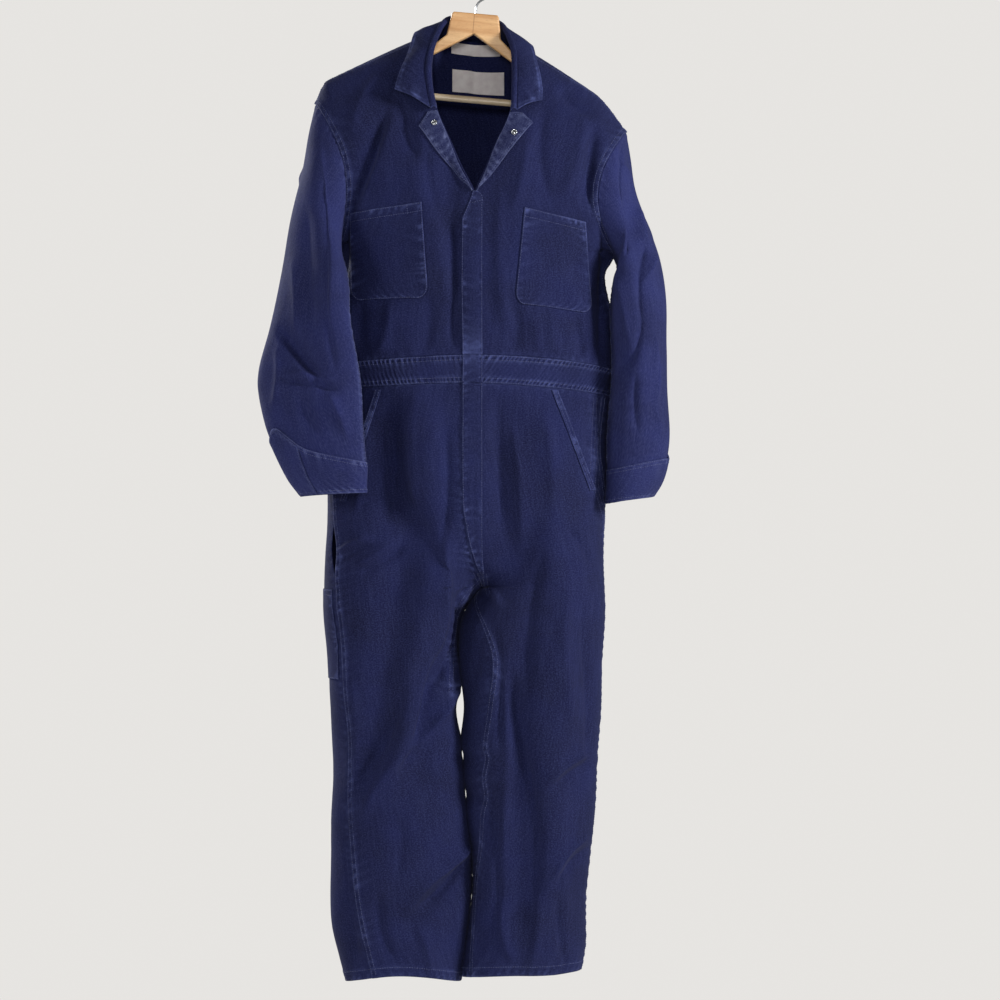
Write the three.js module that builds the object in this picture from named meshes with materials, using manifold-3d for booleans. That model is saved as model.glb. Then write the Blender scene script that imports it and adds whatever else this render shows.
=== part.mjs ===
// A long-sleeved cotton boiler suit hanging open-necked on a wooden coat hanger.
// Millimetres, +Z up, the garment's front faces -Y, and the origin is the point of the hook that bears
// on a rail. "left" and "right" are the wearer's, so the right-hand pieces lie at negative X.
// Each piece of cloth is a wall between an outer grid of points and the same grid set in by the cloth.
import * as THREE from "three";
import { mergeVertices } from "three/addons/utils/BufferGeometryUtils.js";
import Module from "manifold-3d";

const wasm = await Module();
wasm.setup();

// Cloth and seams
const CLOTH = 1.5; // wall of one panel of heavy twill
const DOUBLED = 2.0; // wall of a doubled piece: waistband, collar, cuffs
const HEM = 2.6; // wall of the turned-up hem of each leg
const HEM_HEIGHT = 16;
const POCKET_CLOTH = 1.3;
const SEAM_GAP = 0.5; // between neighbouring panels
const SPREAD_ROUNDS = 6;
const LYING_GAP = 1.1; // under a piece sewn on a panel, which is faceted
const CURVED_GAP = 1.7; // under a piece that crosses a panel's facets askew where it curves
const LABEL_GAP = 1.4;
const MITRE_LIMIT = 0.7; // keeps a mitred wall from reaching far past its cloth

// Levels, as drops below the hook's bearing point
const WAIST_TOP = 632; // upper edge of the waistband at centre front
const WAIST_BOTTOM = 676;
const CROTCH = 1009;
const HEM_DROP = 1646;
const UNDERARM = 0.42; // share of the bodice's rows that lie below the armhole
const NECK_SHARE = 0.74; // share of a back row that lies outside the neck
const SEAT_SHARE = 0.4; // share of a leg panel's rows that lie above the crotch

// Samples along each panel
const COLUMNS = 10; // of each half of the bodice, the waistband and the seat
const LOW_ROWS = 6;
const ARMHOLE_ROWS = 9;
const NECK_COLUMNS = 4;
const SEAT_ROWS = 9;
const LEG_ROWS = 13;
const FORK_ROW = 0.017; // one more row close below the crotch, as a share of the leg
const SLEEVE_ROWS = 12;

const RIGHT = { name: "right", sign: -1, waistSag: 10, bandSag: 8 };
const LEFT = { name: "left", sign: 1, waistSag: 21, bandSag: 22 };

// Bodice rows from the waist seam (v 0) to the shoulder seam (v 1). side is x of the side seam under
// the armhole; edgeX, edgeY and edgeDrop follow the centre front, then the fold of the open neck.
RIGHT.bodice = [
  { v: 0.0, side: -236, edgeX: -11, edgeDrop: 632, edgeY: -92 },
  { v: 0.21, side: -232, edgeX: -12, edgeDrop: 548, edgeY: -98 },
  { v: 0.35, side: -222, edgeX: -11, edgeDrop: 492, edgeY: -101 },
  { v: 0.42, side: -228, edgeX: -10, edgeDrop: 460, edgeY: -101 },
  { v: 0.555, side: -228, edgeX: -7, edgeDrop: 388, edgeY: -98 },
  { v: 0.59, side: -228, edgeX: -5, edgeDrop: 369, edgeY: -97 },
  { v: 0.67, side: -228, edgeX: -26, edgeDrop: 325, edgeY: -93 },
  { v: 0.76, side: -228, edgeX: -44, edgeDrop: 283, edgeY: -86 },
  { v: 0.84, side: -228, edgeX: -61, edgeDrop: 244, edgeY: -77 },
  { v: 0.9, side: -228, edgeX: -71, edgeDrop: 209, edgeY: -65 },
  { v: 0.95, side: -228, edgeX: -75, edgeDrop: 164, edgeY: -46 },
  { v: 0.98, side: -228, edgeX: -72, edgeDrop: 126, edgeY: -28 },
  { v: 1.0, side: -228, edgeX: -67, edgeDrop: 97, edgeY: 0 },
];
LEFT.bodice = [
  { v: 0.0, side: 222, edgeX: -11, edgeDrop: 632, edgeY: -92 },
  { v: 0.21, side: 220, edgeX: -12, edgeDrop: 548, edgeY: -98 },
  { v: 0.35, side: 207, edgeX: -11, edgeDrop: 492, edgeY: -101 },
  { v: 0.42, side: 222, edgeX: -10, edgeDrop: 460, edgeY: -101 },
  { v: 0.555, side: 222, edgeX: -7, edgeDrop: 388, edgeY: -98 },
  { v: 0.59, side: 222, edgeX: -5, edgeDrop: 369, edgeY: -97 },
  { v: 0.67, side: 222, edgeX: 12, edgeDrop: 331, edgeY: -93 },
  { v: 0.76, side: 222, edgeX: 28, edgeDrop: 288, edgeY: -86 },
  { v: 0.84, side: 222, edgeX: 46, edgeDrop: 250, edgeY: -77 },
  { v: 0.9, side: 222, edgeX: 57, edgeDrop: 217, edgeY: -65 },
  { v: 0.95, side: 222, edgeX: 60, edgeDrop: 176, edgeY: -46 },
  { v: 0.98, side: 222, edgeX: 59, edgeDrop: 141, edgeY: -28 },
  { v: 1.0, side: 222, edgeX: 56, edgeDrop: 114, edgeY: 0 },
];
// The line down the middle of the back, on the same rows.
const CENTRE_BACK_X = -8;
const CENTRE_BACK = [
  { v: 0.0, drop: 636, y: 90 },
  { v: 0.42, drop: 449, y: 102 },
  { v: 0.7, drop: 282, y: 98 },
  { v: 0.88, drop: 168, y: 80 },
  { v: 1.0, drop: 99, y: 58 },
];
const CHEST_BULGE = 9;
// How the shoulder seam rises over the hanger's end above a straight line from sleeve to neck.
RIGHT.shoulder = { peakAt: 0.1, rise: 28 };
LEFT.shoulder = { peakAt: 0.27, rise: 25 };
const SHOULDER_FALL = 0.6; // power by which that rise dies away towards the neck

// Sleeve rings from armhole to wrist, each between an outer and an inner point. front and back are its
// half depths, curl draws the armhole in towards the neck, and full squares the ring's inner back,
// which clears the body there.
const sleeveRing = (outX, outDrop, outY, inX, inDrop, inY, front, back, curl, full) => (
  { outX, outDrop, outY, inX, inDrop, inY, front, back, curl, full }
);
RIGHT.sleeve = [
  sleeveRing(-267, 214, 0, -228, 447, 0, 62, 58, 30, 0),
  sleeveRing(-281, 272, -3, -230, 480, -28, 60, 54, 6, 0.8),
  sleeveRing(-294, 339, -8, -218, 519, -68, 54, 50, 0, 1),
  sleeveRing(-308, 414, -14, -206, 563, -94, 47, 45, 0, 0.8),
  sleeveRing(-323, 497, -20, -199, 608, -98, 42, 38, 0, 0.4),
  sleeveRing(-340, 587, -26, -192, 653, -102, 39, 35, 0, 0),
  sleeveRing(-358, 657, -32, -187, 698, -103, 38, 33, 0, 0),
  sleeveRing(-359, 695, -36, -185, 730, -103, 37, 32, 0, 0),
  sleeveRing(-347, 743, -44, -182, 769, -106, 36, 30, 0, 0),
  sleeveRing(-329, 786, -50, -180, 814, -108, 34, 28, 0, 0),
  sleeveRing(-308, 830, -54, -181, 837, -108, 33, 27, 0, 0),
  sleeveRing(-286, 860, -58, -181, 856, -108, 32, 26, 0, 0),
];
LEFT.sleeve = [
  sleeveRing(243, 260, 0, 222, 463, 0, 68, 60, 36, 0),
  sleeveRing(252, 305, -2, 229, 491, -6, 68, 58, 6, 0.8),
  sleeveRing(261, 355, -4, 227, 520, -10, 66, 56, 0, 0.5),
  sleeveRing(277, 405, -6, 229, 557, -12, 64, 54, 0, 0),
  sleeveRing(298, 468, -8, 230, 595, -14, 61, 52, 0, 0),
  sleeveRing(309, 537, -10, 230, 636, -16, 59, 50, 0, 0),
  sleeveRing(308, 611, -12, 229, 682, -18, 57, 48, 0, 0),
  sleeveRing(309, 677, -14, 228, 727, -20, 54, 46, 0, 0),
  sleeveRing(315, 750, -16, 225, 768, -22, 50, 42, 0, 0),
  sleeveRing(311, 795, -18, 222, 816, -24, 46, 38, 0, 0),
  sleeveRing(301, 833, -18, 220, 849, -24, 44, 36, 0, 0),
  sleeveRing(285, 859, -18, 219, 872, -24, 42, 34, 0, 0),
];
const SLEEVE_END = 0.93; // the sleeve ends inside its cuff
const RING_STEP = 180 / ARMHOLE_ROWS; // degrees between the columns of a sleeve
// Cuffs: the share of the sleeve where each begins, and the opening to which its upper edge climbs.
RIGHT.cuff = { from: 0.797, open: 2 * RING_STEP, width: 24, rise: 0.06 };
LEFT.cuff = { from: 0.82, open: -2 * RING_STEP, width: 24, rise: 0.05 };
const CUFF_SLIT = 0.8; // half the slit at the opening, in degrees
const CUFF_TAB = 1.35; // how far the overlap reaches to either side, in columns
const CUFF_TAB_MARGIN = 0.03; // share of the cuff's height that the overlap leaves free at each edge

// The seat from the waistband (v 0) to the crotch (v 1): outer edge, centre line, half depths, and the
// angle of the outside seam, measured round the front from the outer edge.
RIGHT.seat = [
  { v: 0.0, outer: -236, centre: -11, front: 92, back: 90, outseam: 8 },
  { v: 0.3, outer: -244, centre: -14, front: 99, back: 104, outseam: 14 },
  { v: 0.55, outer: -248, centre: -17, front: 99, back: 112, outseam: 22 },
  { v: 0.78, outer: -249, centre: -17, front: 95, back: 104, outseam: 28 },
  { v: 1.0, outer: -251, centre: 4, front: 88, back: 94, outseam: 34 },
];
LEFT.seat = [
  { v: 0.0, outer: 222, centre: -11, front: 92, back: 90, outseam: 18 },
  { v: 0.3, outer: 219, centre: -14, front: 99, back: 104, outseam: 22 },
  { v: 0.55, outer: 213, centre: -17, front: 99, back: 112, outseam: 10 },
  { v: 0.78, outer: 208, centre: -17, front: 95, back: 104, outseam: -2 },
  { v: 1.0, outer: 208, centre: 4, front: 88, back: 94, outseam: -6 },
];
const FRONT_TURN = 0.6; // share of the seat's height where the centre front begins to curve under
const BACK_TURN = 0.45;
const SIDE_TURN = 0.1;
// The right outside seam stands open between these shares of the seat's height.
const VENT = { from: 0.64, to: 0.98, halfAngle: 4 };

// The legs by drop: outer and inner edge, half depths, and the angles of outside and inside seam.
RIGHT.leg = [
  { drop: 1009, outer: -251, inner: 8, front: 88, back: 94, outseam: 34, inseam: 180 },
  { drop: 1023, outer: -251, inner: -7, front: 87, back: 92, outseam: 35, inseam: 184 },
  { drop: 1040, outer: -251, inner: -20, front: 86, back: 90, outseam: 36, inseam: 188 },
  { drop: 1072, outer: -250, inner: -30, front: 84, back: 87, outseam: 39, inseam: 192 },
  { drop: 1130, outer: -247, inner: -33, front: 80, back: 82, outseam: 42, inseam: 196 },
  { drop: 1204, outer: -243, inner: -36, front: 76, back: 77, outseam: 43, inseam: 198 },
  { drop: 1290, outer: -241, inner: -31, front: 72, back: 72, outseam: 43, inseam: 200 },
  { drop: 1360, outer: -240, inner: -23, front: 70, back: 69, outseam: 43, inseam: 200 },
  { drop: 1430, outer: -242, inner: -16, front: 68, back: 66, outseam: 45, inseam: 200 },
  { drop: 1500, outer: -244, inner: -13, front: 67, back: 63, outseam: 50, inseam: 200 },
  { drop: 1560, outer: -240, inner: -18, front: 66, back: 60, outseam: 55, inseam: 200 },
  { drop: 1610, outer: -229, inner: -26, front: 65, back: 58, outseam: 58, inseam: 200 },
  { drop: HEM_DROP, outer: -219, inner: -32, front: 64, back: 56, outseam: 60, inseam: 200 },
];
LEFT.leg = [
  { drop: 1009, outer: 208, inner: 8, front: 88, back: 94, outseam: -6, inseam: 180 },
  { drop: 1023, outer: 208, inner: -2, front: 87, back: 92, outseam: -6, inseam: 170 },
  { drop: 1040, outer: 208, inner: -14, front: 86, back: 90, outseam: -6, inseam: 153 },
  { drop: 1072, outer: 207, inner: -26, front: 84, back: 87, outseam: -6, inseam: 133 },
  { drop: 1130, outer: 205, inner: -28, front: 80, back: 82, outseam: -6, inseam: 122 },
  { drop: 1204, outer: 201, inner: -20, front: 76, back: 77, outseam: -6, inseam: 131 },
  { drop: 1290, outer: 196, inner: -26, front: 72, back: 72, outseam: -6, inseam: 132 },
  { drop: 1360, outer: 191, inner: -18, front: 70, back: 69, outseam: -6, inseam: 138 },
  { drop: 1430, outer: 184, inner: -11, front: 68, back: 66, outseam: -6, inseam: 148 },
  { drop: 1500, outer: 179, inner: -8, front: 67, back: 63, outseam: -6, inseam: 160 },
  { drop: 1560, outer: 178, inner: -13, front: 66, back: 60, outseam: -6, inseam: 158 },
  { drop: 1610, outer: 176, inner: -21, front: 65, back: 58, outseam: -6, inseam: 153 },
  { drop: HEM_DROP, outer: 168, inner: -27, front: 64, back: 56, outseam: -6, inseam: 146 },
];
// How far the hem hangs below its level at the outer edge, the inner edge and the middle.
RIGHT.hemDip = { outer: 11, inner: 12, middle: -6 };
LEFT.hemDip = { outer: -8, inner: 4, middle: -8 };

// The largest folds, each between two points seen from in front. A positive depth is a ridge, a
// negative one a trough, and width is the reach to either side.
const FOLDS = {
  right_front: [
    { x1: -150, d1: 247, x2: -192, d2: 372, width: 18, depth: -9 },
    { x1: -48, d1: 300, x2: -30, d2: 610, width: 20, depth: -8 },
    { x1: -86, d1: 262, x2: -72, d2: 570, width: 28, depth: 6 },
    { x1: -150, d1: 530, x2: -140, d2: 650, width: 26, depth: -5 },
  ],
  left_front: [
    { x1: 190, d1: 270, x2: 180, d2: 380, width: 14, depth: -9 },
    { x1: 200, d1: 520, x2: 204, d2: 640, width: 13, depth: -7 },
    { x1: 70, d1: 262, x2: 60, d2: 570, width: 34, depth: 6 },
    { x1: 130, d1: 530, x2: 120, d2: 650, width: 28, depth: -5 },
  ],
  back: [
    { x1: -170, d1: 250, x2: -150, d2: 560, width: 22, depth: -9 },
    { x1: -95, d1: 200, x2: -85, d2: 600, width: 32, depth: 6 },
    { x1: -20, d1: 260, x2: -12, d2: 600, width: 26, depth: -6 },
    { x1: 70, d1: 230, x2: 62, d2: 580, width: 30, depth: 6 },
    { x1: 150, d1: 280, x2: 140, d2: 590, width: 22, depth: -9 },
  ],
  right_front_leg: [
    { x1: -140, d1: 700, x2: -135, d2: 900, width: 30, depth: -8 },
    { x1: -78, d1: 700, x2: -70, d2: 880, width: 30, depth: 8 },
    { x1: -56, d1: 935, x2: -150, d2: 1350, width: 27, depth: 10 },
    { x1: -112, d1: 900, x2: -172, d2: 1300, width: 30, depth: -10 },
    { x1: -52, d1: 1040, x2: -100, d2: 1330, width: 24, depth: -7 },
    { x1: -36, d1: 1470, x2: -112, d2: 1565, width: 24, depth: -7 },
  ],
  left_front_leg: [
    { x1: 48, d1: 700, x2: 40, d2: 960, width: 26, depth: -8 },
    { x1: 120, d1: 720, x2: 110, d2: 1000, width: 34, depth: 7 },
    { x1: 62, d1: 1100, x2: 66, d2: 1560, width: 24, depth: -10 },
    { x1: 132, d1: 1080, x2: 122, d2: 1560, width: 32, depth: 7 },
  ],
  right_back_leg: [
    { x1: -160, d1: 760, x2: -150, d2: 1300, width: 28, depth: -10 },
    { x1: -95, d1: 860, x2: -110, d2: 1500, width: 26, depth: 9 },
  ],
  left_back_leg: [
    { x1: 140, d1: 760, x2: 128, d2: 1320, width: 28, depth: -10 },
    { x1: 80, d1: 860, x2: 85, d2: 1500, width: 26, depth: 9 },
  ],
  right_sleeve_front: [
    { x1: -252, d1: 262, x2: -238, d2: 470, width: 15, depth: -7 },
    { x1: -312, d1: 597, x2: -248, d2: 680, width: 17, depth: -7 },
  ],
  left_sleeve_front: [
    { x1: 250, d1: 285, x2: 262, d2: 470, width: 14, depth: -8 },
    { x1: 258, d1: 490, x2: 262, d2: 720, width: 18, depth: 5 },
  ],
  right_sleeve_back: [{ x1: -262, d1: 280, x2: -272, d2: 520, width: 17, depth: -7 }],
  left_sleeve_back: [{ x1: 250, d1: 290, x2: 268, d2: 500, width: 16, depth: -7 }],
};
const FOLD_FADE = 0.2; // share of a fold's length over which each end dies away

// The collar, from the right front end round the back to the left front end. along counts the neckline:
// 0 to 1 the right fold of the neck, 1 to 2 the right back, 2 to 3 the left back, 3 to 4 the left fold.
// rollX, rollDrop and rollY run along the top of the collar, edgeX, edgeDrop and edgeY along its leaf.
const COLLAR = [
  { along: 0.0, rollX: -70, rollDrop: 214, rollY: -84, edgeX: -134, edgeDrop: 201, edgeY: -78 },
  { along: 0.3, rollX: -79, rollDrop: 182, rollY: -74, edgeX: -130, edgeDrop: 184, edgeY: -68 },
  { along: 0.65, rollX: -79, rollDrop: 150, rollY: -56, edgeX: -122, edgeDrop: 158, edgeY: -52 },
  { along: 0.88, rollX: -72, rollDrop: 118, rollY: -38, edgeX: -114, edgeDrop: 134, edgeY: -30 },
  { along: 1.0, rollX: -60, rollDrop: 86, rollY: -12, edgeX: -104, edgeDrop: 95, edgeY: 0 },
  { along: 1.5, rollX: -42, rollDrop: 66, rollY: 26, edgeX: -78, edgeDrop: 112, edgeY: 58 },
  { along: 2.0, rollX: -5, rollDrop: 64, rollY: 46, edgeX: -5, edgeDrop: 124, edgeY: 86 },
  { along: 2.5, rollX: 32, rollDrop: 73, rollY: 26, edgeX: 68, edgeDrop: 124, edgeY: 58 },
  { along: 3.0, rollX: 49, rollDrop: 99, rollY: -12, edgeX: 90, edgeDrop: 117, edgeY: 0 },
  { along: 3.12, rollX: 58, rollDrop: 128, rollY: -38, edgeX: 96, edgeDrop: 148, edgeY: -30 },
  { along: 3.35, rollX: 60, rollDrop: 160, rollY: -56, edgeX: 101, edgeDrop: 170, edgeY: -52 },
  { along: 3.7, rollX: 60, rollDrop: 192, rollY: -74, edgeX: 105, edgeDrop: 198, edgeY: -68 },
  { along: 4.0, rollX: 58, rollDrop: 222, rollY: -84, edgeX: 104, edgeDrop: 220, edgeY: -78 },
];
const COLLAR_FRONT_V = 0.905; // bodice row at which the collar's ends begin
const COLLAR_COLUMNS = 22;
const ROLL_RADIUS = 4; // of the middle of the cloth where the collar turns over
const LEAF_BULGE = 4;
const COLLAR_LEAN_Y = -50; // in front of this the collar's roll leans forward
const COLLAR_FOOT = 4.2; // from the edge of the neck to the lower edge of the stand

// The turned-back lapels, from the foot of the opening to the notch: the fold and the free edge.
RIGHT.lapel = [
  { w: 0.0, foldDrop: 361, edgeX: -16, edgeDrop: 364 },
  { w: 0.3, foldDrop: 325, edgeX: -40, edgeDrop: 334 },
  { w: 0.6, foldDrop: 284, edgeX: -66, edgeDrop: 303 },
  { w: 0.88, foldDrop: 249, edgeX: -94, edgeDrop: 263 },
  { w: 1.0, foldDrop: 237, edgeX: -80, edgeDrop: 239 },
];
LEFT.lapel = [
  { w: 0.0, foldDrop: 361, edgeX: 5, edgeDrop: 364 },
  { w: 0.3, foldDrop: 332, edgeX: 28, edgeDrop: 338 },
  { w: 0.6, foldDrop: 292, edgeX: 56, edgeDrop: 298 },
  { w: 0.88, foldDrop: 254, edgeX: 88, edgeDrop: 257 },
  { w: 1.0, foldDrop: 240, edgeX: 72, edgeDrop: 240 },
];

const LAPEL_INSET = 0.012; // from the folded edge, as a share of the front's width

// Chest pockets by their corners, each x and drop.
RIGHT.chestPocket = { topOut: [-207, 399], topIn: [-90, 386], lowOut: [-206, 541], lowIn: [-79, 539] };
LEFT.chestPocket = { topOut: [175, 415], topIn: [76, 394], lowOut: [186, 562], lowIn: [60, 548] };
const POCKET_CORNER = 0.13; // radius of the lower corners as a share of the pocket's width

// Slanting hip pockets: the faced edge from the waistband to the outside seam, by its two ends.
RIGHT.hipPocket = { top: [-166, 694], low: [-224, 868] };
LEFT.hipPocket = { top: [132, 700], low: [190, 846] };
const HIP_FACING = 10;

// The rule pocket on the outside of the right leg, by drops and shares of the back panel's width.
const RULE_POCKET = { top: 1013, bottom: 1158, from: 0.025, to: 0.4 };

// The placket over the centre front, by x, the drops of its upper end and foot, and the share of a
// panel by which it stops short of the waist seams.
const PLACKET = { outer: -24, inner: 8, top: 373, foot: 905, short: 0.004 };

const SNAPS = [
  { side: RIGHT, x: -70, drop: 257 },
  { side: LEFT, x: 60, drop: 272 },
];
const SNAP_RADIUS = 4.6;
const SNAP_TOP_RADIUS = 3.7;
const SNAP_HEIGHT = 1.6;
const SNAP_GAP = 0.4;

// Two blank woven labels inside the back of the neck: middle, size and slope.
const LABELS = [
  { name: "label_size", x: -4, drop: 113, width: 84, height: 18, slope: 0.07 },
  { name: "label_care", x: 0, drop: 165, width: 88, height: 36, slope: 0.08 },
];
const LABEL_CLOTH = 1.0;

// The hanger. Its frame is turned about the middle of the hook, which keeps the bearing point.
const TILT = THREE.MathUtils.degToRad(5);
const HOOK_RADIUS = 20; // inside the hook
const WIRE_RADIUS = 1.7;
const WIRE_GAP = 0.3; // between the wire's foot and the wood
const HOOK_START = -50; // degrees round the hook at which its round part begins
const HOOK_TIP = 205; // and at which the wire ends
const WOOD_TOP = 64;
const WOOD_THICK = 13;
const WOOD_BEVEL = 2.5;
const BAR_RADIUS = 5.6;
const BAR_DROP = 206;
const BAR_HALF = 206;
const BAR_CLEARANCE = 0.3;
// Half of the wood's outline, from the top of its middle block round the end to its underside.
const WOOD_OUTLINE = [
  { x: 36, drop: WOOD_TOP },
  { x: 39, drop: 68 },
  { x: 45, drop: 103 },
  { x: 62, drop: 118.5 },
  { x: 140, drop: 152 },
  { x: 212, drop: 191 },
  { x: 219, drop: 198 },
  { x: 219, drop: 210 },
  { x: 212, drop: 216 },
  { x: 62, drop: 136 },
];
const WOOD_APEX = 98; // drop of the underside at the middle

const COLOURS = {
  navy: 0x1f254c,
  lapel: 0x252b55,
  wood: 0xd7aa76,
  bar: 0xe2c69c,
  steel: 0xb9bcc0,
  label: 0xcfc6c4,
};

const mix = (a, b, t) => a + (b - a) * t;
const clamp01 = (t) => Math.min(1, Math.max(0, t));
const ease = (a, b, x) => {
  const t = clamp01((x - a) / (b - a));
  return t * t * (3 - 2 * t);
};
const rad = THREE.MathUtils.degToRad;
const place = (x, y, drop) => new THREE.Vector3(x, y, -drop);
const steps = (from, to, count) => Array.from({ length: count + 1 }, (_, i) => mix(from, to, i / count));

// The value of one named column of a table at any station, on a smooth curve through its rows.
function column(table, key, at, name) {
  const last = table.length - 1;
  let i = 0;
  while (i < last - 1 && at > table[i + 1][key]) i += 1;
  const slope = (k) => {
    const a = table[Math.max(k - 1, 0)];
    const b = table[Math.min(k + 1, last)];
    return (b[name] - a[name]) / (b[key] - a[key]);
  };
  const [p, q] = [table[i], table[i + 1]];
  const span = q[key] - p[key];
  const t = clamp01((at - p[key]) / span);
  const [t2, t3] = [t * t, t * t * t];
  return (
    p[name] * (2 * t3 - 3 * t2 + 1) +
    q[name] * (3 * t2 - 2 * t3) +
    slope(i) * span * (t3 - 2 * t2 + t) +
    slope(i + 1) * span * (t3 - t2)
  );
}

// How far the folds push a point out, from where it lies seen from in front.
function foldHeight(folds, x, drop) {
  let height = 0;
  for (const f of folds) {
    const [dx, dd] = [f.x2 - f.x1, f.d2 - f.d1];
    const along = ((x - f.x1) * dx + (drop - f.d1) * dd) / (dx * dx + dd * dd);
    const across = ((x - f.x1) * dd - (drop - f.d1) * dx) / Math.hypot(dx, dd);
    const fade = ease(-FOLD_FADE, FOLD_FADE, along) * (1 - ease(1 - FOLD_FADE, 1 + FOLD_FADE, along));
    height += f.depth * fade * Math.exp(-((across / f.width) ** 2));
  }
  return height;
}

for (const side of [RIGHT, LEFT]) {
  side.sleeve = side.sleeve.map((row, i) => ({ ...row, share: i / (side.sleeve.length - 1) }));
}

// A sleeve's ring by share of its length; angle 0 is the outer edge, 180 the inner one, and positive
// angles lie in front.
function sleevePoint(side, share, angle) {
  const get = (name) => column(side.sleeve, "share", share, name);
  const [c, s] = [Math.cos(rad(angle)), Math.sin(rad(angle))];
  const out = (1 + c) / 2;
  const wide = s < 0 ? mix(out, Math.sqrt(out), clamp01(get("full"))) : out;
  const depth = s > 0 ? get("front") : get("back");
  const x = mix(get("inX"), get("outX"), wide) - side.sign * Math.max(0, get("curl")) * s * s;
  return place(x, mix(get("inY"), get("outY"), out) - depth * s, mix(get("inDrop"), get("outDrop"), out));
}

// The line of the centre front and then of the neck's fold.
function frontEdge(side, v) {
  const get = (name) => column(side.bodice, "v", v, name);
  return place(get("edgeX"), get("edgeY"), get("edgeDrop"));
}

// The side seam and then the armhole, on which each bodice row begins.
function rowStart(side, face, v) {
  if (v > UNDERARM) return sleevePoint(side, 0, face * 180 * (1 - (v - UNDERARM) / (1 - UNDERARM)));
  const drop = mix(WAIST_TOP + side.waistSag, side.sleeve[0].inDrop, v / UNDERARM);
  return place(column(side.bodice, "v", v, "side"), 0, drop);
}

// The rise of the shoulder over the hanger, by share of the seam from sleeve to neck.
function shoulderRise(side, run) {
  const { peakAt, rise } = side.shoulder;
  if (run < peakAt) return rise * Math.sin((run / peakAt) * (Math.PI / 2));
  return rise * clamp01((1 - run) / (1 - peakAt)) ** SHOULDER_FALL;
}

// Rows of the bodice: t runs from the side seam or armhole (0) to the middle (1). Low rows bend like a
// quarter of an ellipse, high ones run straight across the chest.
function bodicePoint(side, face, t, v) {
  const front = face > 0;
  const start = rowStart(side, face, v);
  const end = front
    ? frontEdge(side, v)
    : place(CENTRE_BACK_X, column(CENTRE_BACK, "v", v, "y"), column(CENTRE_BACK, "v", v, "drop"));
  const round = 1 - ease(UNDERARM, 0.8, v);
  const turn = (t * Math.PI) / 2;
  const across = mix(t, 1 - Math.cos(turn), round);
  const fall = mix(1 - across, (1 - across) ** 2, round);
  const bulge = CHEST_BULGE * Math.sin(Math.PI * t) * (1 - round) * (1 - ease(0.85, 1, v));
  const y = mix(start.y, end.y, mix(t, Math.sin(turn), round)) - face * bulge;
  const point = place(mix(start.x, end.x, across), y, -mix(end.z, start.z, fall));
  const top = ease(0.7, 1, v);
  point.z += shoulderRise(side, front ? t : Math.min(1, t / NECK_SHARE)) * top;
  if (front) return point;
  const raised = start.sub(sleevePoint(side, 0, 0)).multiplyScalar(Math.max(0, 1 - t / NECK_SHARE));
  return point.lerp(backTop(side, t).add(raised), top ** 5);
}

// The top of the back: the shoulder seam, then the neckline.
function backTop(side, t) {
  const tip = sleevePoint(side, 0, 0);
  const neck = frontEdge(side, 1);
  const run = t / NECK_SHARE;
  if (run <= 1) return tip.lerp(neck, run).add(place(0, 0, -shoulderRise(side, run)));
  const turn = ((t - NECK_SHARE) / (1 - NECK_SHARE)) * (Math.PI / 2);
  const { y, drop } = CENTRE_BACK.at(-1);
  const x = mix(CENTRE_BACK_X, neck.x, Math.cos(turn));
  return place(x, mix(neck.y, y, Math.sin(turn)), mix(-neck.z, drop, 1 - Math.cos(turn)));
}

// A leg's ring: angle 0 at the outer edge, growing round the front to the inner edge at 180.
function legRing(side, drop, angle) {
  const get = (name) => column(side.leg, "drop", drop, name);
  const s = Math.sin(rad(angle));
  const depth = s > 0 ? get("front") : get("back");
  return place(mix(get("inner"), get("outer"), (1 + Math.cos(rad(angle))) / 2), -depth * s, drop);
}

// A leg's front panel spans the angles from outside to inside seam, its back panel the rest.
const legAngle = (face, outseam, inseam, t) => mix(outseam, face > 0 ? inseam : inseam - 360, t);

// The seat: t runs from the outside seam to the centre line, which turns under to the crotch.
function seatPoint(side, face, t, v) {
  const get = (name) => column(side.seat, "v", v, name);
  const gape = side === RIGHT ? VENT.halfAngle * Math.sin(Math.PI * ease(VENT.from, VENT.to, v)) : 0;
  const outseam = get("outseam") + face * gape * (1 - t);
  const angle = rad(mix(outseam, face * 90, t));
  const depth = Math.sin(angle) > 0 ? get("front") : get("back");
  const reach = Math.cos(angle);
  const body = place(mix(get("centre"), get("outer"), reach), -depth * Math.sin(angle), 0);
  const leg = legRing(side, CROTCH, legAngle(face, outseam, 180, t));
  const centre = ease(0.4, 0.85, t); // only the cloth by the centre line turns sharply under
  const begin = mix(SIDE_TURN, face > 0 ? FRONT_TURN : BACK_TURN, centre);
  const q = clamp01((v - begin) / (1 - begin));
  const point = body.lerp(leg, mix(ease(0, 1, q), 1 - Math.sqrt(1 - q * q), centre));
  point.z = -mix(WAIST_BOTTOM + side.bandSag * reach * reach, CROTCH, v);
  return point;
}

// One panel from waistband to hem.
function trouserPoint(side, face, t, v) {
  if (v <= SEAT_SHARE) return seatPoint(side, face, t, v / SEAT_SHARE);
  const share = (v - SEAT_SHARE) / (1 - SEAT_SHARE);
  const drop = mix(CROTCH, HEM_DROP, share);
  const seams = ["outseam", "inseam"].map((name) => column(side.leg, "drop", drop, name));
  const angle = legAngle(face, ...seams, t);
  const c = Math.cos(rad(angle));
  const { outer, inner, middle } = side.hemDip;
  const point = legRing(side, drop, angle);
  point.z -= (middle + ((c > 0 ? outer : inner) - middle) * c * c) * ease(0.8, 1, share);
  return point;
}

// The waistband runs from the bodice's lowest row to the seat's highest.
const waistPoint = (side, face, t, v) => bodicePoint(side, face, t, 0).lerp(seatPoint(side, face, t, 0), v);

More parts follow.
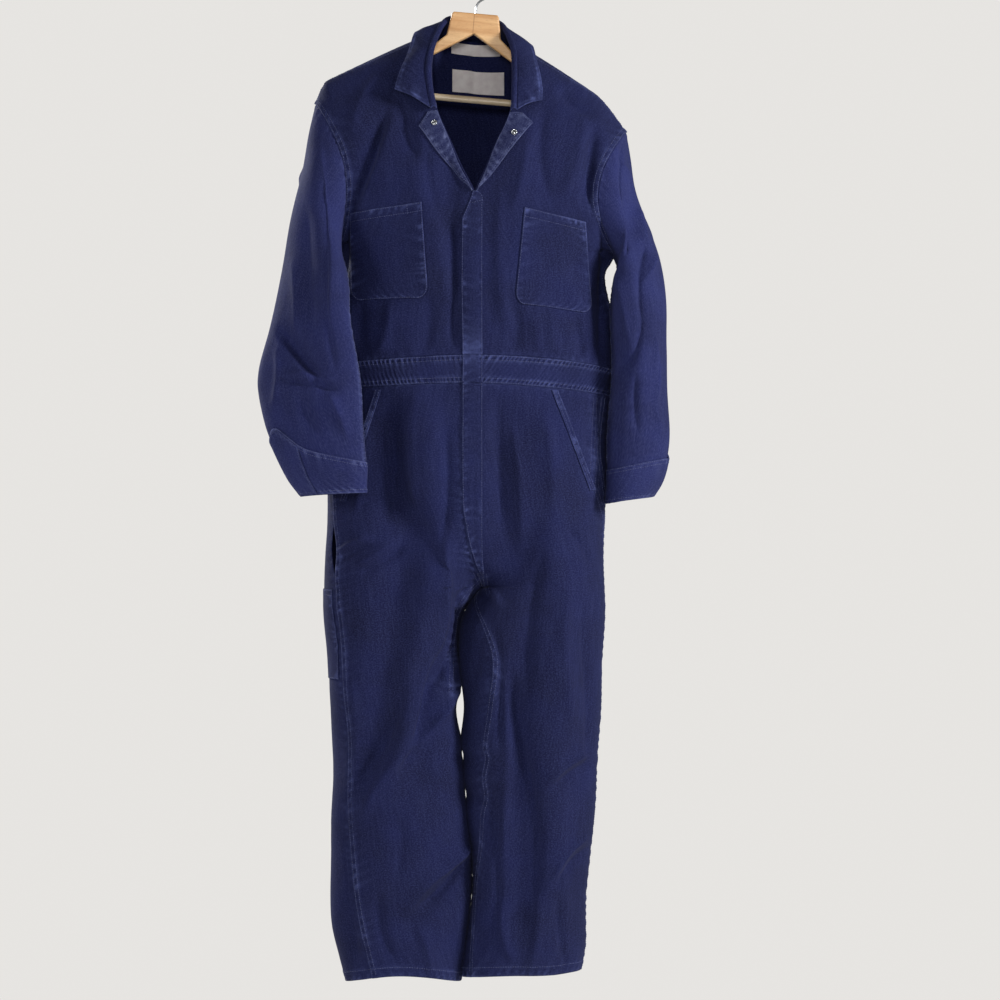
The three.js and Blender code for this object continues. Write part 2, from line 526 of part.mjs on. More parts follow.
// Whole backs: u runs from the right side seam to the left one.
const wholeBack = (half) => (u, v) => (u <= 0.5 ? half(RIGHT, -1, 2 * u, v) : half(LEFT, -1, 2 - 2 * u, v));

// A surface with its folds, which move it along its own normal.
function folded(bare, folds, fade, turn) {
  if (!folds) return bare;
  const h = 0.003; // step of the surface's slopes
  return (u, v) => {
    const p = bare(u, v);
    const height = foldHeight(folds, p.x, -p.z) * fade(u, v);
    if (Math.abs(height) < 0.02) return p;
    const du = bare(clamp01(u + h), v).sub(bare(clamp01(u - h), v));
    const dv = bare(u, clamp01(v + h)).sub(bare(u, clamp01(v - h)));
    return p.addScaledVector(du.cross(dv).normalize(), turn * height);
  };
}

// Every sewn panel: its surface, its samples and the way its cloth faces.
const panels = {};
function addPanel(name, bare, us, vs, turn, { fade = () => 1, wall = () => CLOTH } = {}) {
  const surface = folded(bare, FOLDS[name], fade, turn);
  const grid = us.map((u) => vs.map((v) => surface(u, v)));
  panels[name] = { name, surface, us, vs, turn, wall, grid };
}

// Folds die away towards the seams, where neighbouring panels meet.
const inside = (t) => Math.sqrt(Math.sin(Math.PI * clamp01(t)));
const bodiceRows = [...steps(0, UNDERARM, LOW_ROWS), ...steps(UNDERARM, 1, ARMHOLE_ROWS).slice(1)];
const halfBack = [...steps(0, NECK_SHARE, COLUMNS), ...steps(NECK_SHARE, 1, NECK_COLUMNS).slice(1)];
const backColumns = [...halfBack.map((t) => t / 2), ...halfBack.slice(0, -1).map((t) => 1 - t / 2).reverse()];
const seatRows = steps(0, 1, SEAT_ROWS).map((v) => SEAT_SHARE * mix(v, Math.sin((v * Math.PI) / 2), 0.6));
const hemStart = 1 - HEM_HEIGHT / (HEM_DROP - CROTCH);
const fallingRows = steps(0, 1, LEG_ROWS).slice(1);
const legShares = [0, FORK_ROW, ...fallingRows.map((v) => mix(v, v * v, 0.4) * hemStart), 1];
const trouserRows = [...seatRows, ...legShares.slice(1).map((v) => mix(SEAT_SHARE, 1, v))];
const fadeBodice = (u, v) => inside(u) * inside(v);
const fadeLeg = (u, v) => inside(u) * ease(0, 0.06, v);
const fadeSleeve = (u, v) => inside(u) * ease(0, 0.1, v) * (1 - ease(0.62, 0.74, v));
const hemWall = (v) => (v > mix(SEAT_SHARE, 1, hemStart) - 1e-6 ? HEM : CLOTH);

for (const side of [RIGHT, LEFT]) {
  addPanel(`${side.name}_front`, (t, v) => bodicePoint(side, 1, t, v), steps(0, 1, COLUMNS), bodiceRows,
    -side.sign, { fade: fadeBodice });
  addPanel(`${side.name}_waistband`, (t, v) => waistPoint(side, 1, t, v), steps(0, 1, COLUMNS), [0, 1],
    side.sign, { wall: () => DOUBLED });
  for (const [face, word] of [[1, "front"], [-1, "back"]]) {
    addPanel(`${side.name}_${word}_leg`, (t, v) => trouserPoint(side, face, t, v), steps(0, 1, COLUMNS),
      trouserRows, side.sign * face, { fade: fadeLeg, wall: hemWall });
    addPanel(`${side.name}_sleeve_${word}`, (t, v) => sleevePoint(side, v, face * 180 * t),
      steps(0, 1, ARMHOLE_ROWS), steps(0, SLEEVE_END, SLEEVE_ROWS), side.sign * face, { fade: fadeSleeve });
  }
}
addPanel("back", wholeBack(bodicePoint), backColumns, bodiceRows, -1, { fade: fadeBodice });
addPanel("back_waistband", wholeBack(waistPoint), steps(0, 1, 2 * COLUMNS), [0, 1], 1,
  { wall: () => DOUBLED });

// The direction a grid faces at each of its points.
function gridNormals(grid, turn) {
  const [iMax, jMax] = [grid.length - 1, grid[0].length - 1];
  return grid.map((row, i) =>
    row.map((_, j) => {
      const du = grid[Math.min(i + 1, iMax)][j].clone().sub(grid[Math.max(i - 1, 0)][j]);
      const dv = grid[i][Math.min(j + 1, jMax)].clone().sub(grid[i][Math.max(j - 1, 0)]);
      return du.cross(dv).multiplyScalar(turn).normalize();
    }),
  );
}

const seamKey = (p) => [p.x, p.y, p.z].map((c) => Math.round(c * 20 + 0.01)).join(",");

// The step by which each border point of a grid draws back into its own panel.
function seamShift(grid) {
  const [iMax, jMax] = [grid.length - 1, grid[0].length - 1];
  const toward = (a, b) => b.clone().sub(a).setLength(SEAM_GAP / 2);
  return grid.map((row, i) =>
    row.map((p, j) => {
      const shift = new THREE.Vector3();
      if (i === 0) shift.add(toward(p, grid[1][j]));
      if (i === iMax) shift.add(toward(p, grid[iMax - 1][j]));
      if (j === 0) shift.add(toward(p, grid[i][1]));
      if (j === jMax) shift.add(toward(p, grid[i][jMax - 1]));
      return shift;
    }),
  );
}

// Where panels meet at a sharp angle those steps run side by side, so they are spread to the full gap.
const meeting = new Map();
for (const panel of Object.values(panels)) {
  panel.shift = seamShift(panel.grid);
  panel.grid.forEach((row, i) =>
    row.forEach((p, j) => {
      const key = seamKey(p);
      if (!meeting.has(key)) meeting.set(key, []);
      meeting.get(key).push(panel.shift[i][j]);
    }),
  );
}
for (const shifts of meeting.values()) {
  for (let round = 0; round < SPREAD_ROUNDS; round += 1) spread(shifts);
}

function spread(shifts) {
  shifts.forEach((a, i) => {
    for (const b of shifts.slice(i + 1)) {
      const apart = a.clone().sub(b);
      const short = SEAM_GAP - apart.length();
      if (short <= 0) continue;
      a.add(apart.setLength(short / 2));
      b.sub(apart);
    }
  });
}

// Where panels meet they share one direction, so that their walls are mitred along the seam.
const mitre = new Map();
for (const panel of Object.values(panels)) {
  panel.own = gridNormals(panel.grid, panel.turn);
  panel.grid.forEach((row, i) =>
    row.forEach((p, j) => {
      const key = seamKey(p);
      if (!mitre.has(key)) mitre.set(key, { sum: new THREE.Vector3(), count: 0 });
      mitre.get(key).sum.add(panel.own[i][j]);
      mitre.get(key).count += 1;
    }),
  );
}
for (const panel of Object.values(panels)) {
  const inward = (p, wall) => {
    const { sum, count } = mitre.get(seamKey(p));
    const lean = Math.max(MITRE_LIMIT, sum.length() / count);
    return p.clone().addScaledVector(sum.clone().normalize(), -wall / lean);
  };
  const drawn = (p, i, j) => p.clone().add(panel.shift[i][j]);
  panel.outer = panel.grid.map((row, i) => row.map((p, j) => drawn(p, i, j)));
  panel.inner = panel.grid.map((row, i) =>
    row.map((p, j) => drawn(inward(p, panel.wall(panel.vs[j])), i, j)),
  );
}

// A closed wall between two grids of the same size.
function wallGeometry(outer, inner) {
  const [nu, nv] = [outer.length, outer[0].length];
  const at = (layer, i, j) => layer * nu * nv + i * nv + j;
  const faces = [];
  const quad = (a, b, c, d) => faces.push(a, b, c, a, c, d);
  for (let i = 0; i < nu - 1; i += 1) {
    for (let j = 0; j < nv - 1; j += 1) {
      quad(at(0, i, j), at(0, i + 1, j), at(0, i + 1, j + 1), at(0, i, j + 1));
      quad(at(1, i, j), at(1, i, j + 1), at(1, i + 1, j + 1), at(1, i + 1, j));
    }
    quad(at(0, i, 0), at(1, i, 0), at(1, i + 1, 0), at(0, i + 1, 0));
    quad(at(0, i + 1, nv - 1), at(1, i + 1, nv - 1), at(1, i, nv - 1), at(0, i, nv - 1));
  }
  for (let j = 0; j < nv - 1; j += 1) {
    quad(at(0, 0, j + 1), at(1, 0, j + 1), at(1, 0, j), at(0, 0, j));
    quad(at(0, nu - 1, j), at(1, nu - 1, j), at(1, nu - 1, j + 1), at(0, nu - 1, j + 1));
  }
  const points = [...outer.flat(), ...inner.flat()];
  if (signedVolume(points, faces) < 0) {
    for (let k = 0; k < faces.length; k += 3) [faces[k], faces[k + 1]] = [faces[k + 1], faces[k]];
  }
  const geometry = new THREE.BufferGeometry().setFromPoints(points);
  geometry.setIndex(faces);
  return geometry;
}

function signedVolume(points, faces) {
  let volume = 0;
  for (let k = 0; k < faces.length; k += 3) {
    const [a, b, c] = [points[faces[k]], points[faces[k + 1]], points[faces[k + 2]]];
    volume += a.dot(b.clone().cross(c)) / 6;
  }
  return volume;
}

// The point and direction of a wall's own facets at any (u, v).
function onWall(wall, u, v) {
  const cell = (samples, x) => {
    let k = 0;
    while (k < samples.length - 2 && x > samples[k + 1]) k += 1;
    return [k, clamp01((x - samples[k]) / (samples[k + 1] - samples[k]))];
  };
  const [i, a] = cell(wall.us, u);
  const [j, b] = cell(wall.vs, v);
  const blend = (grid) => {
    const corner = a > b ? grid[i + 1][j] : grid[i][j + 1];
    return new THREE.Vector3()
      .addScaledVector(grid[i][j], 1 - Math.max(a, b))
      .addScaledVector(corner, Math.abs(a - b))
      .addScaledVector(grid[i + 1][j + 1], Math.min(a, b));
  };
  return { point: blend(wall.outer), under: blend(wall.inner), normal: blend(wall.own).normalize() };
}

// The share at which a rising or falling function reaches a value.
function solve(f, goal) {
  let [low, high] = [0, 1];
  const rising = f(1) > f(0);
  for (let k = 0; k < 22; k += 1) {
    const middle = (low + high) / 2;
    if (f(middle) < goal === rising) low = middle;
    else high = middle;
  }
  return (low + high) / 2;
}

const columnAt = (panel, x, v) => solve((u) => panel.surface(u, v).x, x);
const rowAt = (panel, drop, u) => solve((v) => -panel.surface(u, v).z, drop);

// The (u, v) of a panel under a point seen from in front.
function locate(panel, [x, drop]) {
  let [u, v] = [0.5, 0.5];
  for (let round = 0; round < 7; round += 1) {
    u = columnAt(panel, x, v);
    v = rowAt(panel, drop, u);
  }
  return [u, v];
}

const suit = new THREE.Group();
const fabric = new THREE.MeshStandardMaterial({ color: COLOURS.navy, roughness: 0.92, metalness: 0 });
const facing = new THREE.MeshStandardMaterial({ color: COLOURS.lapel, roughness: 0.92, metalness: 0 });
const woven = new THREE.MeshStandardMaterial({ color: COLOURS.label, roughness: 0.8, metalness: 0 });
const steel = new THREE.MeshStandardMaterial({ color: COLOURS.steel, roughness: 0.3, metalness: 1 });
const beech = new THREE.MeshStandardMaterial({ color: COLOURS.wood, roughness: 0.5, metalness: 0 });
const paleBeech = new THREE.MeshStandardMaterial({ color: COLOURS.bar, roughness: 0.5, metalness: 0 });

function addMesh(parent, name, geometry, material) {
  const mesh = new THREE.Mesh(geometry, material);
  mesh.name = name;
  parent.add(mesh);
  return mesh;
}

for (const panel of Object.values(panels)) {
  addMesh(suit, panel.name, wallGeometry(panel.outer, panel.inner), fabric);
}

// A piece that lies on cloth: at(s, w) gives the cloth's point and direction under each of its own.
function addLying(name, at, ss, ws, { lift = LYING_GAP, cloth = POCKET_CLOTH, material = fabric } = {}) {
  const under = ss.map((s) => ws.map((w) => at(s, w)));
  const lifted = (height) => (spot) => spot.point.clone().addScaledVector(spot.normal, height);
  const raise = (height) => under.map((row) => row.map(lifted(height)));
  const wall = { us: ss, vs: ws, outer: raise(lift + cloth), inner: raise(lift) };
  wall.own = under.map((row) => row.map(({ normal }) => normal));
  addMesh(suit, name, wallGeometry(wall.outer, wall.inner), material);
  return wall;
}

// A stretch of a panel's own samples, so that what lies there has the same facets.
function samplesWithin(samples, from, to) {
  const nearest = 0.01; // leaves no sliver beside the ends
  return [from, ...samples.filter((x) => x > from + nearest && x < to - nearest), to];
}

const between = (a, b, t) => a.map((value, k) => mix(value, b[k], t));

// The (u, v) inside four corners: s runs from the first corner of each end to its second.
const withinCorners = (start, end, s, w) => between(between(...start, s), between(...end, s), w);

// Chest pockets: s across from the outer side, w down from the opening, with rounded lower corners.
function addChestPocket(side) {
  const panel = panels[`${side.name}_front`];
  const corner = Object.fromEntries(
    Object.entries(side.chestPocket).map(([name, spot]) => [name, locate(panel, spot)]),
  );
  const rounding = steps(0, 90, 3).slice(1);
  const rows = [
    ...steps(0, 1 - POCKET_CORNER, 10),
    ...rounding.map((angle) => 1 - POCKET_CORNER * (1 - Math.sin(rad(angle)))),
  ];
  const at = (s, w) => {
    const turned = Math.max(0, w - 1 + POCKET_CORNER) / POCKET_CORNER;
    const inset = POCKET_CORNER * (1 - Math.sqrt(1 - turned * turned));
    const across = mix(inset, 1 - inset, s);
    const [top, low] = [[corner.topOut, corner.topIn], [corner.lowOut, corner.lowIn]];
    return onWall(panel, ...withinCorners(top, low, across, w));
  };
  addLying(`${side.name}_chest_pocket`, at, steps(0, 1, 11), rows, { lift: CURVED_GAP });
}

// The faced edge of a hip pocket: a strip along a slanting line.
function addHipPocket(side) {
  const panel = panels[`${side.name}_front_leg`];
  const { top, low } = side.hipPocket;
  const ends = [top, low].map(([x, drop]) =>
    [0, HIP_FACING].map((offset) => locate(panel, [x - side.sign * offset, drop])),
  );
  const at = (s, w) => onWall(panel, ...withinCorners(...ends, s, w));
  addLying(`${side.name}_hip_pocket`, at, steps(0, 1, 1), steps(0, 1, 16));
}

// The turned-back front edge, from the foot of the opening to the notch.
function addLapel(side) {
  const panel = panels[`${side.name}_front`];
  const at = (s, w) => {
    const get = (name) => column(side.lapel, "w", w, name);
    const fold = [1 - LAPEL_INSET, rowAt(panel, get("foldDrop"), 1)];
    return onWall(panel, ...between(fold, locate(panel, [get("edgeX"), get("edgeDrop")]), s));
  };
  const doubled = { cloth: DOUBLED, material: facing };
  return addLying(`${side.name}_lapel`, at, steps(0, 1, 4), steps(0, 1, 13), doubled);
}

// The placket crosses from the right panels to the left ones; each stretch has its own name.
function addPlacket(name, rightPanel, leftPanel, from, to, count) {
  const xs = steps(PLACKET.outer, PLACKET.inner, 3);
  const at = (x, v) => {
    const panel = x < rightPanel.surface(1, v).x ? rightPanel : leftPanel;
    return onWall(panel, columnAt(panel, x, v), v);
  };
  addLying(name, at, xs, steps(from, to, count));
}

for (const side of [RIGHT, LEFT]) {
  addChestPocket(side);
  addHipPocket(side);
  side.lapelWall = addLapel(side);
}
const neckFoot = rowAt(panels.left_front, PLACKET.top, 1);
const flyFoot = rowAt(panels.left_front_leg, PLACKET.foot, 1);
addPlacket("placket_bodice", panels.right_front, panels.left_front, PLACKET.short, neckFoot, 18);
addPlacket("placket_waist", panels.right_waistband, panels.left_waistband, 0.01, 0.99, 4);
addPlacket("placket_fly", panels.right_front_leg, panels.left_front_leg, PLACKET.short, flyFoot, 14);

// The rule pocket, sewn behind the outside seam of the right leg.
const ruleRow = (drop) => mix(SEAT_SHARE, 1, (drop - CROTCH) / (HEM_DROP - CROTCH));
addLying(
  "rule_pocket",
  (s, w) => onWall(panels.right_back_leg, s, w),
  samplesWithin(panels.right_back_leg.us, RULE_POCKET.from, RULE_POCKET.to),
  samplesWithin(panels.right_back_leg.vs, ruleRow(RULE_POCKET.top), ruleRow(RULE_POCKET.bottom)),
);

// Labels lie on the inner face of the back.
for (const label of LABELS) {
  const at = (s, w) => {
    const x = label.x + s * label.width;
    const drop = label.drop + w * label.height + s * label.width * label.slope;
    const spot = onWall(panels.back, ...locate(panels.back, [x, drop]));
    return { point: spot.under, normal: spot.normal.negate() };
  };
  const blank = { lift: LABEL_GAP, cloth: LABEL_CLOTH, material: woven };
  addLying(label.name, at, steps(-0.5, 0.5, 8), steps(-0.5, 0.5, 2), blank);
}

// A cuff goes round the end of its sleeve from one side of its opening to the other.
function ringAt(side, share, angle) {
  const h = 0.004; // step of the slope along the sleeve
  const point = sleevePoint(side, share, angle);
  const round = sleevePoint(side, share, angle + 1).sub(sleevePoint(side, share, angle - 1));
  const down = sleevePoint(side, Math.min(1, share + h), angle).sub(sleevePoint(side, share - h, angle));
  return { point, normal: round.cross(down).multiplyScalar(side.sign).normalize() };
}

function cuffTop(side, angle) {
  const { from, open, width, rise } = side.cuff;
  const away = ((((angle - open) % 360) + 540) % 360) - 180;
  return from - rise * Math.exp(-((away / width) ** 2));
}

function addCuff(side) {
  const { open } = side.cuff;
  const round = steps(open, open + 360, 2 * ARMHOLE_ROWS);
  round[0] += CUFF_SLIT;
  round[2 * ARMHOLE_ROWS] -= CUFF_SLIT;
  const at = (angle, w) => ringAt(side, mix(cuffTop(side, angle), 1, w), angle);
  addLying(`${side.name}_cuff`, at, round, steps(0, 1, 4), { cloth: DOUBLED });
  const tab = [-CUFF_TAB, -1, 0, 1, CUFF_TAB].map((k) => open + k * RING_STEP);
  const lift = 2 * LYING_GAP + DOUBLED;
  const along = (w) => mix(CUFF_TAB_MARGIN, 1 - CUFF_TAB_MARGIN, w);
  const over = (angle, w) => ringAt(side, mix(cuffTop(side, angle), 1, along(w)), angle);
  addLying(`${side.name}_cuff_tab`, over, tab, steps(0, 1, 4), { lift, cloth: POCKET_CLOTH });
}
addCuff(RIGHT);
addCuff(LEFT);

// The neckline, by stations from the right front end of the collar to the left one.
function neckline(along) {
  if (along < 1) return frontEdge(RIGHT, mix(COLLAR_FRONT_V, 1, along));
  if (along < 2) return backTop(RIGHT, mix(NECK_SHARE, 1, along - 1));
  if (along < 3) return backTop(LEFT, mix(1, NECK_SHARE, along - 2));
  return frontEdge(LEFT, mix(1, COLLAR_FRONT_V, along - 3));
}

// The collar's section: a stand from the neckline up to the roll, a half turn, and the leaf.
function collarPoint(along, w) {
  const get = (name) => column(COLLAR, "along", along, name);
  const roll = place(get("rollX"), get("rollY"), get("rollDrop"));
  const edge = place(get("edgeX"), get("edgeY"), get("edgeDrop"));
  const seam = neckline(along);
  const out = edge.clone().sub(seam).setZ(0).normalize();
  const leaning = get("rollY") < COLLAR_LEAN_Y;
  const up = new THREE.Vector3(0, leaning ? -1 : 0, 1).normalize();
  const standTop = roll.clone().addScaledVector(out, -ROLL_RADIUS);
  const leafTop = roll.clone().addScaledVector(out, ROLL_RADIUS);
  const foot = seam.clone().add(standTop.clone().sub(seam).setLength(COLLAR_FOOT));
  if (w <= 1) return foot.lerp(standTop, w);
  if (w <= 2) {
    const turn = (w - 1) * Math.PI;
    roll.addScaledVector(out, -ROLL_RADIUS * Math.cos(turn));
    return roll.addScaledVector(up, ROLL_RADIUS * Math.sin(turn));
  }
  return leafTop.lerp(edge, w - 2).addScaledVector(up, LEAF_BULGE * Math.sin(Math.PI * (w - 2)));
}

function addCollar() {
  const alongs = steps(0, 4, COLLAR_COLUMNS);
  const [stand, roll, leaf] = [steps(0, 1, 2), steps(1, 2, 4), steps(2, 3, 3)];
  const ws = [...stand, ...roll.slice(1), ...leaf.slice(1)];
  const grid = alongs.map((a) => ws.map((w) => collarPoint(a, w)));
  const normals = gridNormals(grid, 1);
  const moved = (p, i, j, offset) => p.clone().addScaledVector(normals[i][j], offset);
  const shell = (offset) => grid.map((row, i) => row.map((p, j) => moved(p, i, j, offset)));
  addMesh(suit, "collar", wallGeometry(shell(DOUBLED / 2), shell(-DOUBLED / 2)), fabric);
}
addCollar();

// Snap studs, each standing on its lapel.
function addSnap({ side, x, drop }) {
  const wall = side.lapelWall;
  let best = { distance: Infinity };
  for (const s of steps(0, 1, 20)) {
    for (const w of steps(0, 1, 40)) {
      const spot = onWall(wall, s, w);
      const distance = Math.hypot(spot.point.x - x, -spot.point.z - drop);
      if (distance < best.distance) best = { ...spot, distance };
    }
  }
  const stud = new THREE.CylinderGeometry(SNAP_TOP_RADIUS, SNAP_RADIUS, SNAP_HEIGHT, 20);
  const snap = addMesh(suit, `${side.name}_snap`, stud, steel);
  snap.quaternion.setFromUnitVectors(new THREE.Vector3(0, 1, 0), best.normal);
  snap.position.copy(best.point).addScaledVector(best.normal, SNAP_HEIGHT / 2 + SNAP_GAP);
}
SNAPS.forEach(addSnap);

// A closed geometry as a solid for cutting, and back.
function toSolid(geometry) {
  const bare = geometry.clone();
  bare.deleteAttribute("normal");
  bare.deleteAttribute("uv");
  const merged = mergeVertices(bare, 1e-4);
  const vertProperties = merged.attributes.position.array;
  const triVerts = new Uint32Array(merged.index.array);
  return new wasm.Manifold(new wasm.Mesh({ numProp: 3, vertProperties, triVerts }));
}

function toGeometry(solid) {
  const mesh = solid.getMesh();
  const geometry = new THREE.BufferGeometry();
  geometry.setAttribute("position", new THREE.BufferAttribute(mesh.vertProperties, 3));
  geometry.setIndex(new THREE.BufferAttribute(mesh.triVerts, 1));
  return geometry;
}

// The wood, sawn to its outline with rounded edges and drilled for the bar.
function hangerWood() {
  const right = WOOD_OUTLINE.map(({ x, drop }) => new THREE.Vector2(x, -drop));
  const left = WOOD_OUTLINE.map(({ x, drop }) => new THREE.Vector2(-x, -drop)).reverse();
  const shape = new THREE.Shape([...right, new THREE.Vector2(0, -WOOD_APEX), ...left].reverse());
  const sawn = new THREE.ExtrudeGeometry(shape, {
    depth: WOOD_THICK - 2 * WOOD_BEVEL,
    bevelThickness: WOOD_BEVEL,
    bevelSize: WOOD_BEVEL,
    bevelOffset: -WOOD_BEVEL,
    bevelSegments: 2,
  });
  sawn.translate(0, 0, WOOD_BEVEL - WOOD_THICK / 2);
  sawn.rotateX(Math.PI / 2);
  const bore = BAR_RADIUS + BAR_CLEARANCE;
  const drill = new THREE.CylinderGeometry(bore, bore, 2 * (BAR_HALF + BAR_CLEARANCE), 24);
  drill.rotateZ(Math.PI / 2);
  drill.translate(0, 0, -BAR_DROP);
  return toGeometry(toSolid(sawn).subtract(toSolid(drill)));
}

// The hook's wire, up from the wood, round over the rail and down to its tip.
function hangerHook() {
  const radius = HOOK_RADIUS + WIRE_RADIUS;
  const round = steps(HOOK_START, HOOK_TIP, 18).map((angle) => {
    const [c, s] = [Math.cos(rad(angle)), Math.sin(rad(angle))];
    return new THREE.Vector3(radius * c, 0, -HOOK_RADIUS + radius * s);
  });
  const shank = [WIRE_GAP, 6, 12].map((rise) => new THREE.Vector3(0, 0, rise - WOOD_TOP));
  const bend = new THREE.Vector3(4, 0, 20 - WOOD_TOP);
  const path = new THREE.CatmullRomCurve3([...shank, bend, ...round]);
  const section = new THREE.Shape().absarc(0, 0, WIRE_RADIUS, 0, 2 * Math.PI);
  return new THREE.ExtrudeGeometry(section, { steps: 34, curveSegments: 4, extrudePath: path });
}

function addHanger() {
  const hanger = new THREE.Group();
  hanger.position.z = -HOOK_RADIUS;
  hanger.rotation.y = TILT;
  suit.add(hanger);
  const bar = new THREE.CylinderGeometry(BAR_RADIUS, BAR_RADIUS, 2 * BAR_HALF, 24);
  bar.rotateZ(Math.PI / 2).translate(0, 0, -BAR_DROP);
  addMesh(hanger, "hanger_wood", hangerWood(), beech);
  addMesh(hanger, "hanger_bar", bar, paleBeech);
  addMesh(hanger, "hanger_hook", hangerHook(), steel);
  hanger.children.forEach((mesh) => mesh.position.set(0, 0, HOOK_RADIUS));
}
addHanger();

export default suit;
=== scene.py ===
# %% [markdown]
# # A boiler suit on a wooden hanger
# A boiler suit is cut from flat twill: two fronts, a back, a waistband, four leg panels, four sleeve
# panels, cuffs, a collar, and pockets and plackets sewn on top. This lesson builds each of them as the
# maker does, as one sheet of cloth with a thickness, and lays every stitch row where the seams are.
# The frame that is loaded first holds the solids that these sheets stand for.

# %% Tools, frame and the box that the solids fill
import math

import bpy
import numpy as np
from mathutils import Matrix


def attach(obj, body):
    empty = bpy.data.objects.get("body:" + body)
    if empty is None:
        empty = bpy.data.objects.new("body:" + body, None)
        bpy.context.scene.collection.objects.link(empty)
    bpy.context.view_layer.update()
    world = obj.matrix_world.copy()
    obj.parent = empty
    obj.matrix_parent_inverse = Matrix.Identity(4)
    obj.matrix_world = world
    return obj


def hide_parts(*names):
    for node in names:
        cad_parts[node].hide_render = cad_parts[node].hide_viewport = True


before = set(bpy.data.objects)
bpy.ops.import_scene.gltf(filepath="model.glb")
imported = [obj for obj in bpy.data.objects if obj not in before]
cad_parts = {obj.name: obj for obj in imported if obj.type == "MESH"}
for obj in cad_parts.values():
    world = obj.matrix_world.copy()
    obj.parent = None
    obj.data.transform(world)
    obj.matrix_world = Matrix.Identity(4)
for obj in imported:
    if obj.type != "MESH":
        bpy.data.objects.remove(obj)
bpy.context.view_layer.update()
MM = 0.001

# %% [markdown]
# ## The camera
# The photograph was taken level with the middle of the garment and from far off, so that a narrow
# lens at four metres gives its perspective. A camera looks along its own -Z, and a quarter turn about X
# points that along +Y, from the front of the suit towards its back.

# %% Camera at the photograph's angle
VIEW_DISTANCE = 4.0
VIEW_HALF_WIDTH = 0.825
lens = bpy.data.cameras.new("photo_lens")
lens.angle = 2 * math.atan(VIEW_HALF_WIDTH / VIEW_DISTANCE)
camera = bpy.data.objects.new("photo_camera", lens)
camera.location = (0.0363, -VIEW_DISTANCE, -0.8659)
camera.rotation_euler = (math.pi / 2, 0, 0)
bpy.context.collection.objects.link(camera)
bpy.context.scene.camera = camera
print("camera at", tuple(camera.location))

# %% [markdown]
# ## Measures of the pattern
# All measures are in millimetres. A drop is measured downwards from the point where the hook bears on
# its rail, so z is minus the drop. The garment's own right side has negative x.
# A table holds one row for each station along a panel, and a smooth curve runs through each column.

# %% Thicknesses, levels and sample counts
CLOTH = 1.2  # twill
DOUBLED = 2.0  # two layers, as in cuffs and lapels
LIFT = 0.45  # air between a sewn-on piece and the cloth under it
WAIST_TOP = 632
WAIST_BOTTOM = 676
CROTCH = 1009
HEM_DROP = 1646
UNDERARM = 0.42  # share of a bodice panel's height
NECK_SHARE = 0.74
SEAT_SHARE = 0.4
SLEEVE_END = 0.93
COLUMNS = 62
BACK_NECK_COLUMNS = 18
LOW_ROWS = 50
ARMHOLE_ROWS = 68
SEAT_ROWS = 92
LEG_ROWS = 168
SLEEVE_ROWS = 165
BAND_ROWS = 16
BAND_COLUMNS = 230
CHEST_BULGE = 9
SHOULDER_FALL = 0.6
FRONT_TURN, BACK_TURN, SIDE_TURN = 0.6, 0.45, 0.1
VENT = (0.64, 0.98, 4)  # rows between which the side opening gapes, and its half angle
CENTRE_BACK_X = -8

RIGHT = {"name": "right", "sign": -1, "waist_sag": 10, "band_sag": 8, "peak_at": 0.1, "rise": 28}
LEFT = {"name": "left", "sign": 1, "waist_sag": 21, "band_sag": 22, "peak_at": 0.27, "rise": 25}
RIGHT["hem_dip"] = (11, 12, -6)
LEFT["hem_dip"] = (-8, 4, -8)
SIDES = (RIGHT, LEFT)
RIGHT["cuff"] = {"start": 0.797, "open": 40, "width": 24, "rise": 0.06}
LEFT["cuff"] = {"start": 0.82, "open": -40, "width": 24, "rise": 0.05}
print("pattern from", WAIST_TOP, "to", HEM_DROP)


# %% Tables of the pattern
def table(names, rows):
    """Columns of a table by name."""
    return dict(zip(names.split(), np.array(rows, float).T))


RIGHT["bodice"] = table("v side edge_x edge_drop edge_y", [
    (0.0, -236, -11, 632, -92),
    (0.21, -232, -12, 548, -98),
    (0.35, -222, -11, 492, -101),
    (0.42, -228, -10, 460, -101),
    (0.555, -228, -7, 388, -98),
    (0.59, -228, -5, 369, -97),
    (0.67, -228, -26, 325, -93),
    (0.76, -228, -44, 283, -86),
    (0.84, -228, -61, 244, -77),
    (0.9, -228, -71, 209, -65),
    (0.95, -228, -75, 164, -46),
    (0.98, -228, -72, 126, -28),
    (1.0, -228, -67, 97, 0),
])
LEFT["bodice"] = table("v side edge_x edge_drop edge_y", [
    (0.0, 222, -11, 632, -92),
    (0.21, 220, -12, 548, -98),
    (0.35, 207, -11, 492, -101),
    (0.42, 222, -10, 460, -101),
    (0.555, 222, -7, 388, -98),
    (0.59, 222, -5, 369, -97),
    (0.67, 222, 12, 331, -93),
    (0.76, 222, 28, 288, -86),
    (0.84, 222, 46, 250, -77),
    (0.9, 222, 57, 217, -65),
    (0.95, 222, 60, 176, -46),
    (0.98, 222, 59, 141, -28),
    (1.0, 222, 56, 114, 0),
])
CENTRE_BACK = table("v drop y", [
    (0.0, 636, 90),
    (0.42, 449, 102),
    (0.7, 282, 98),
    (0.88, 168, 80),
    (1.0, 99, 58),
])
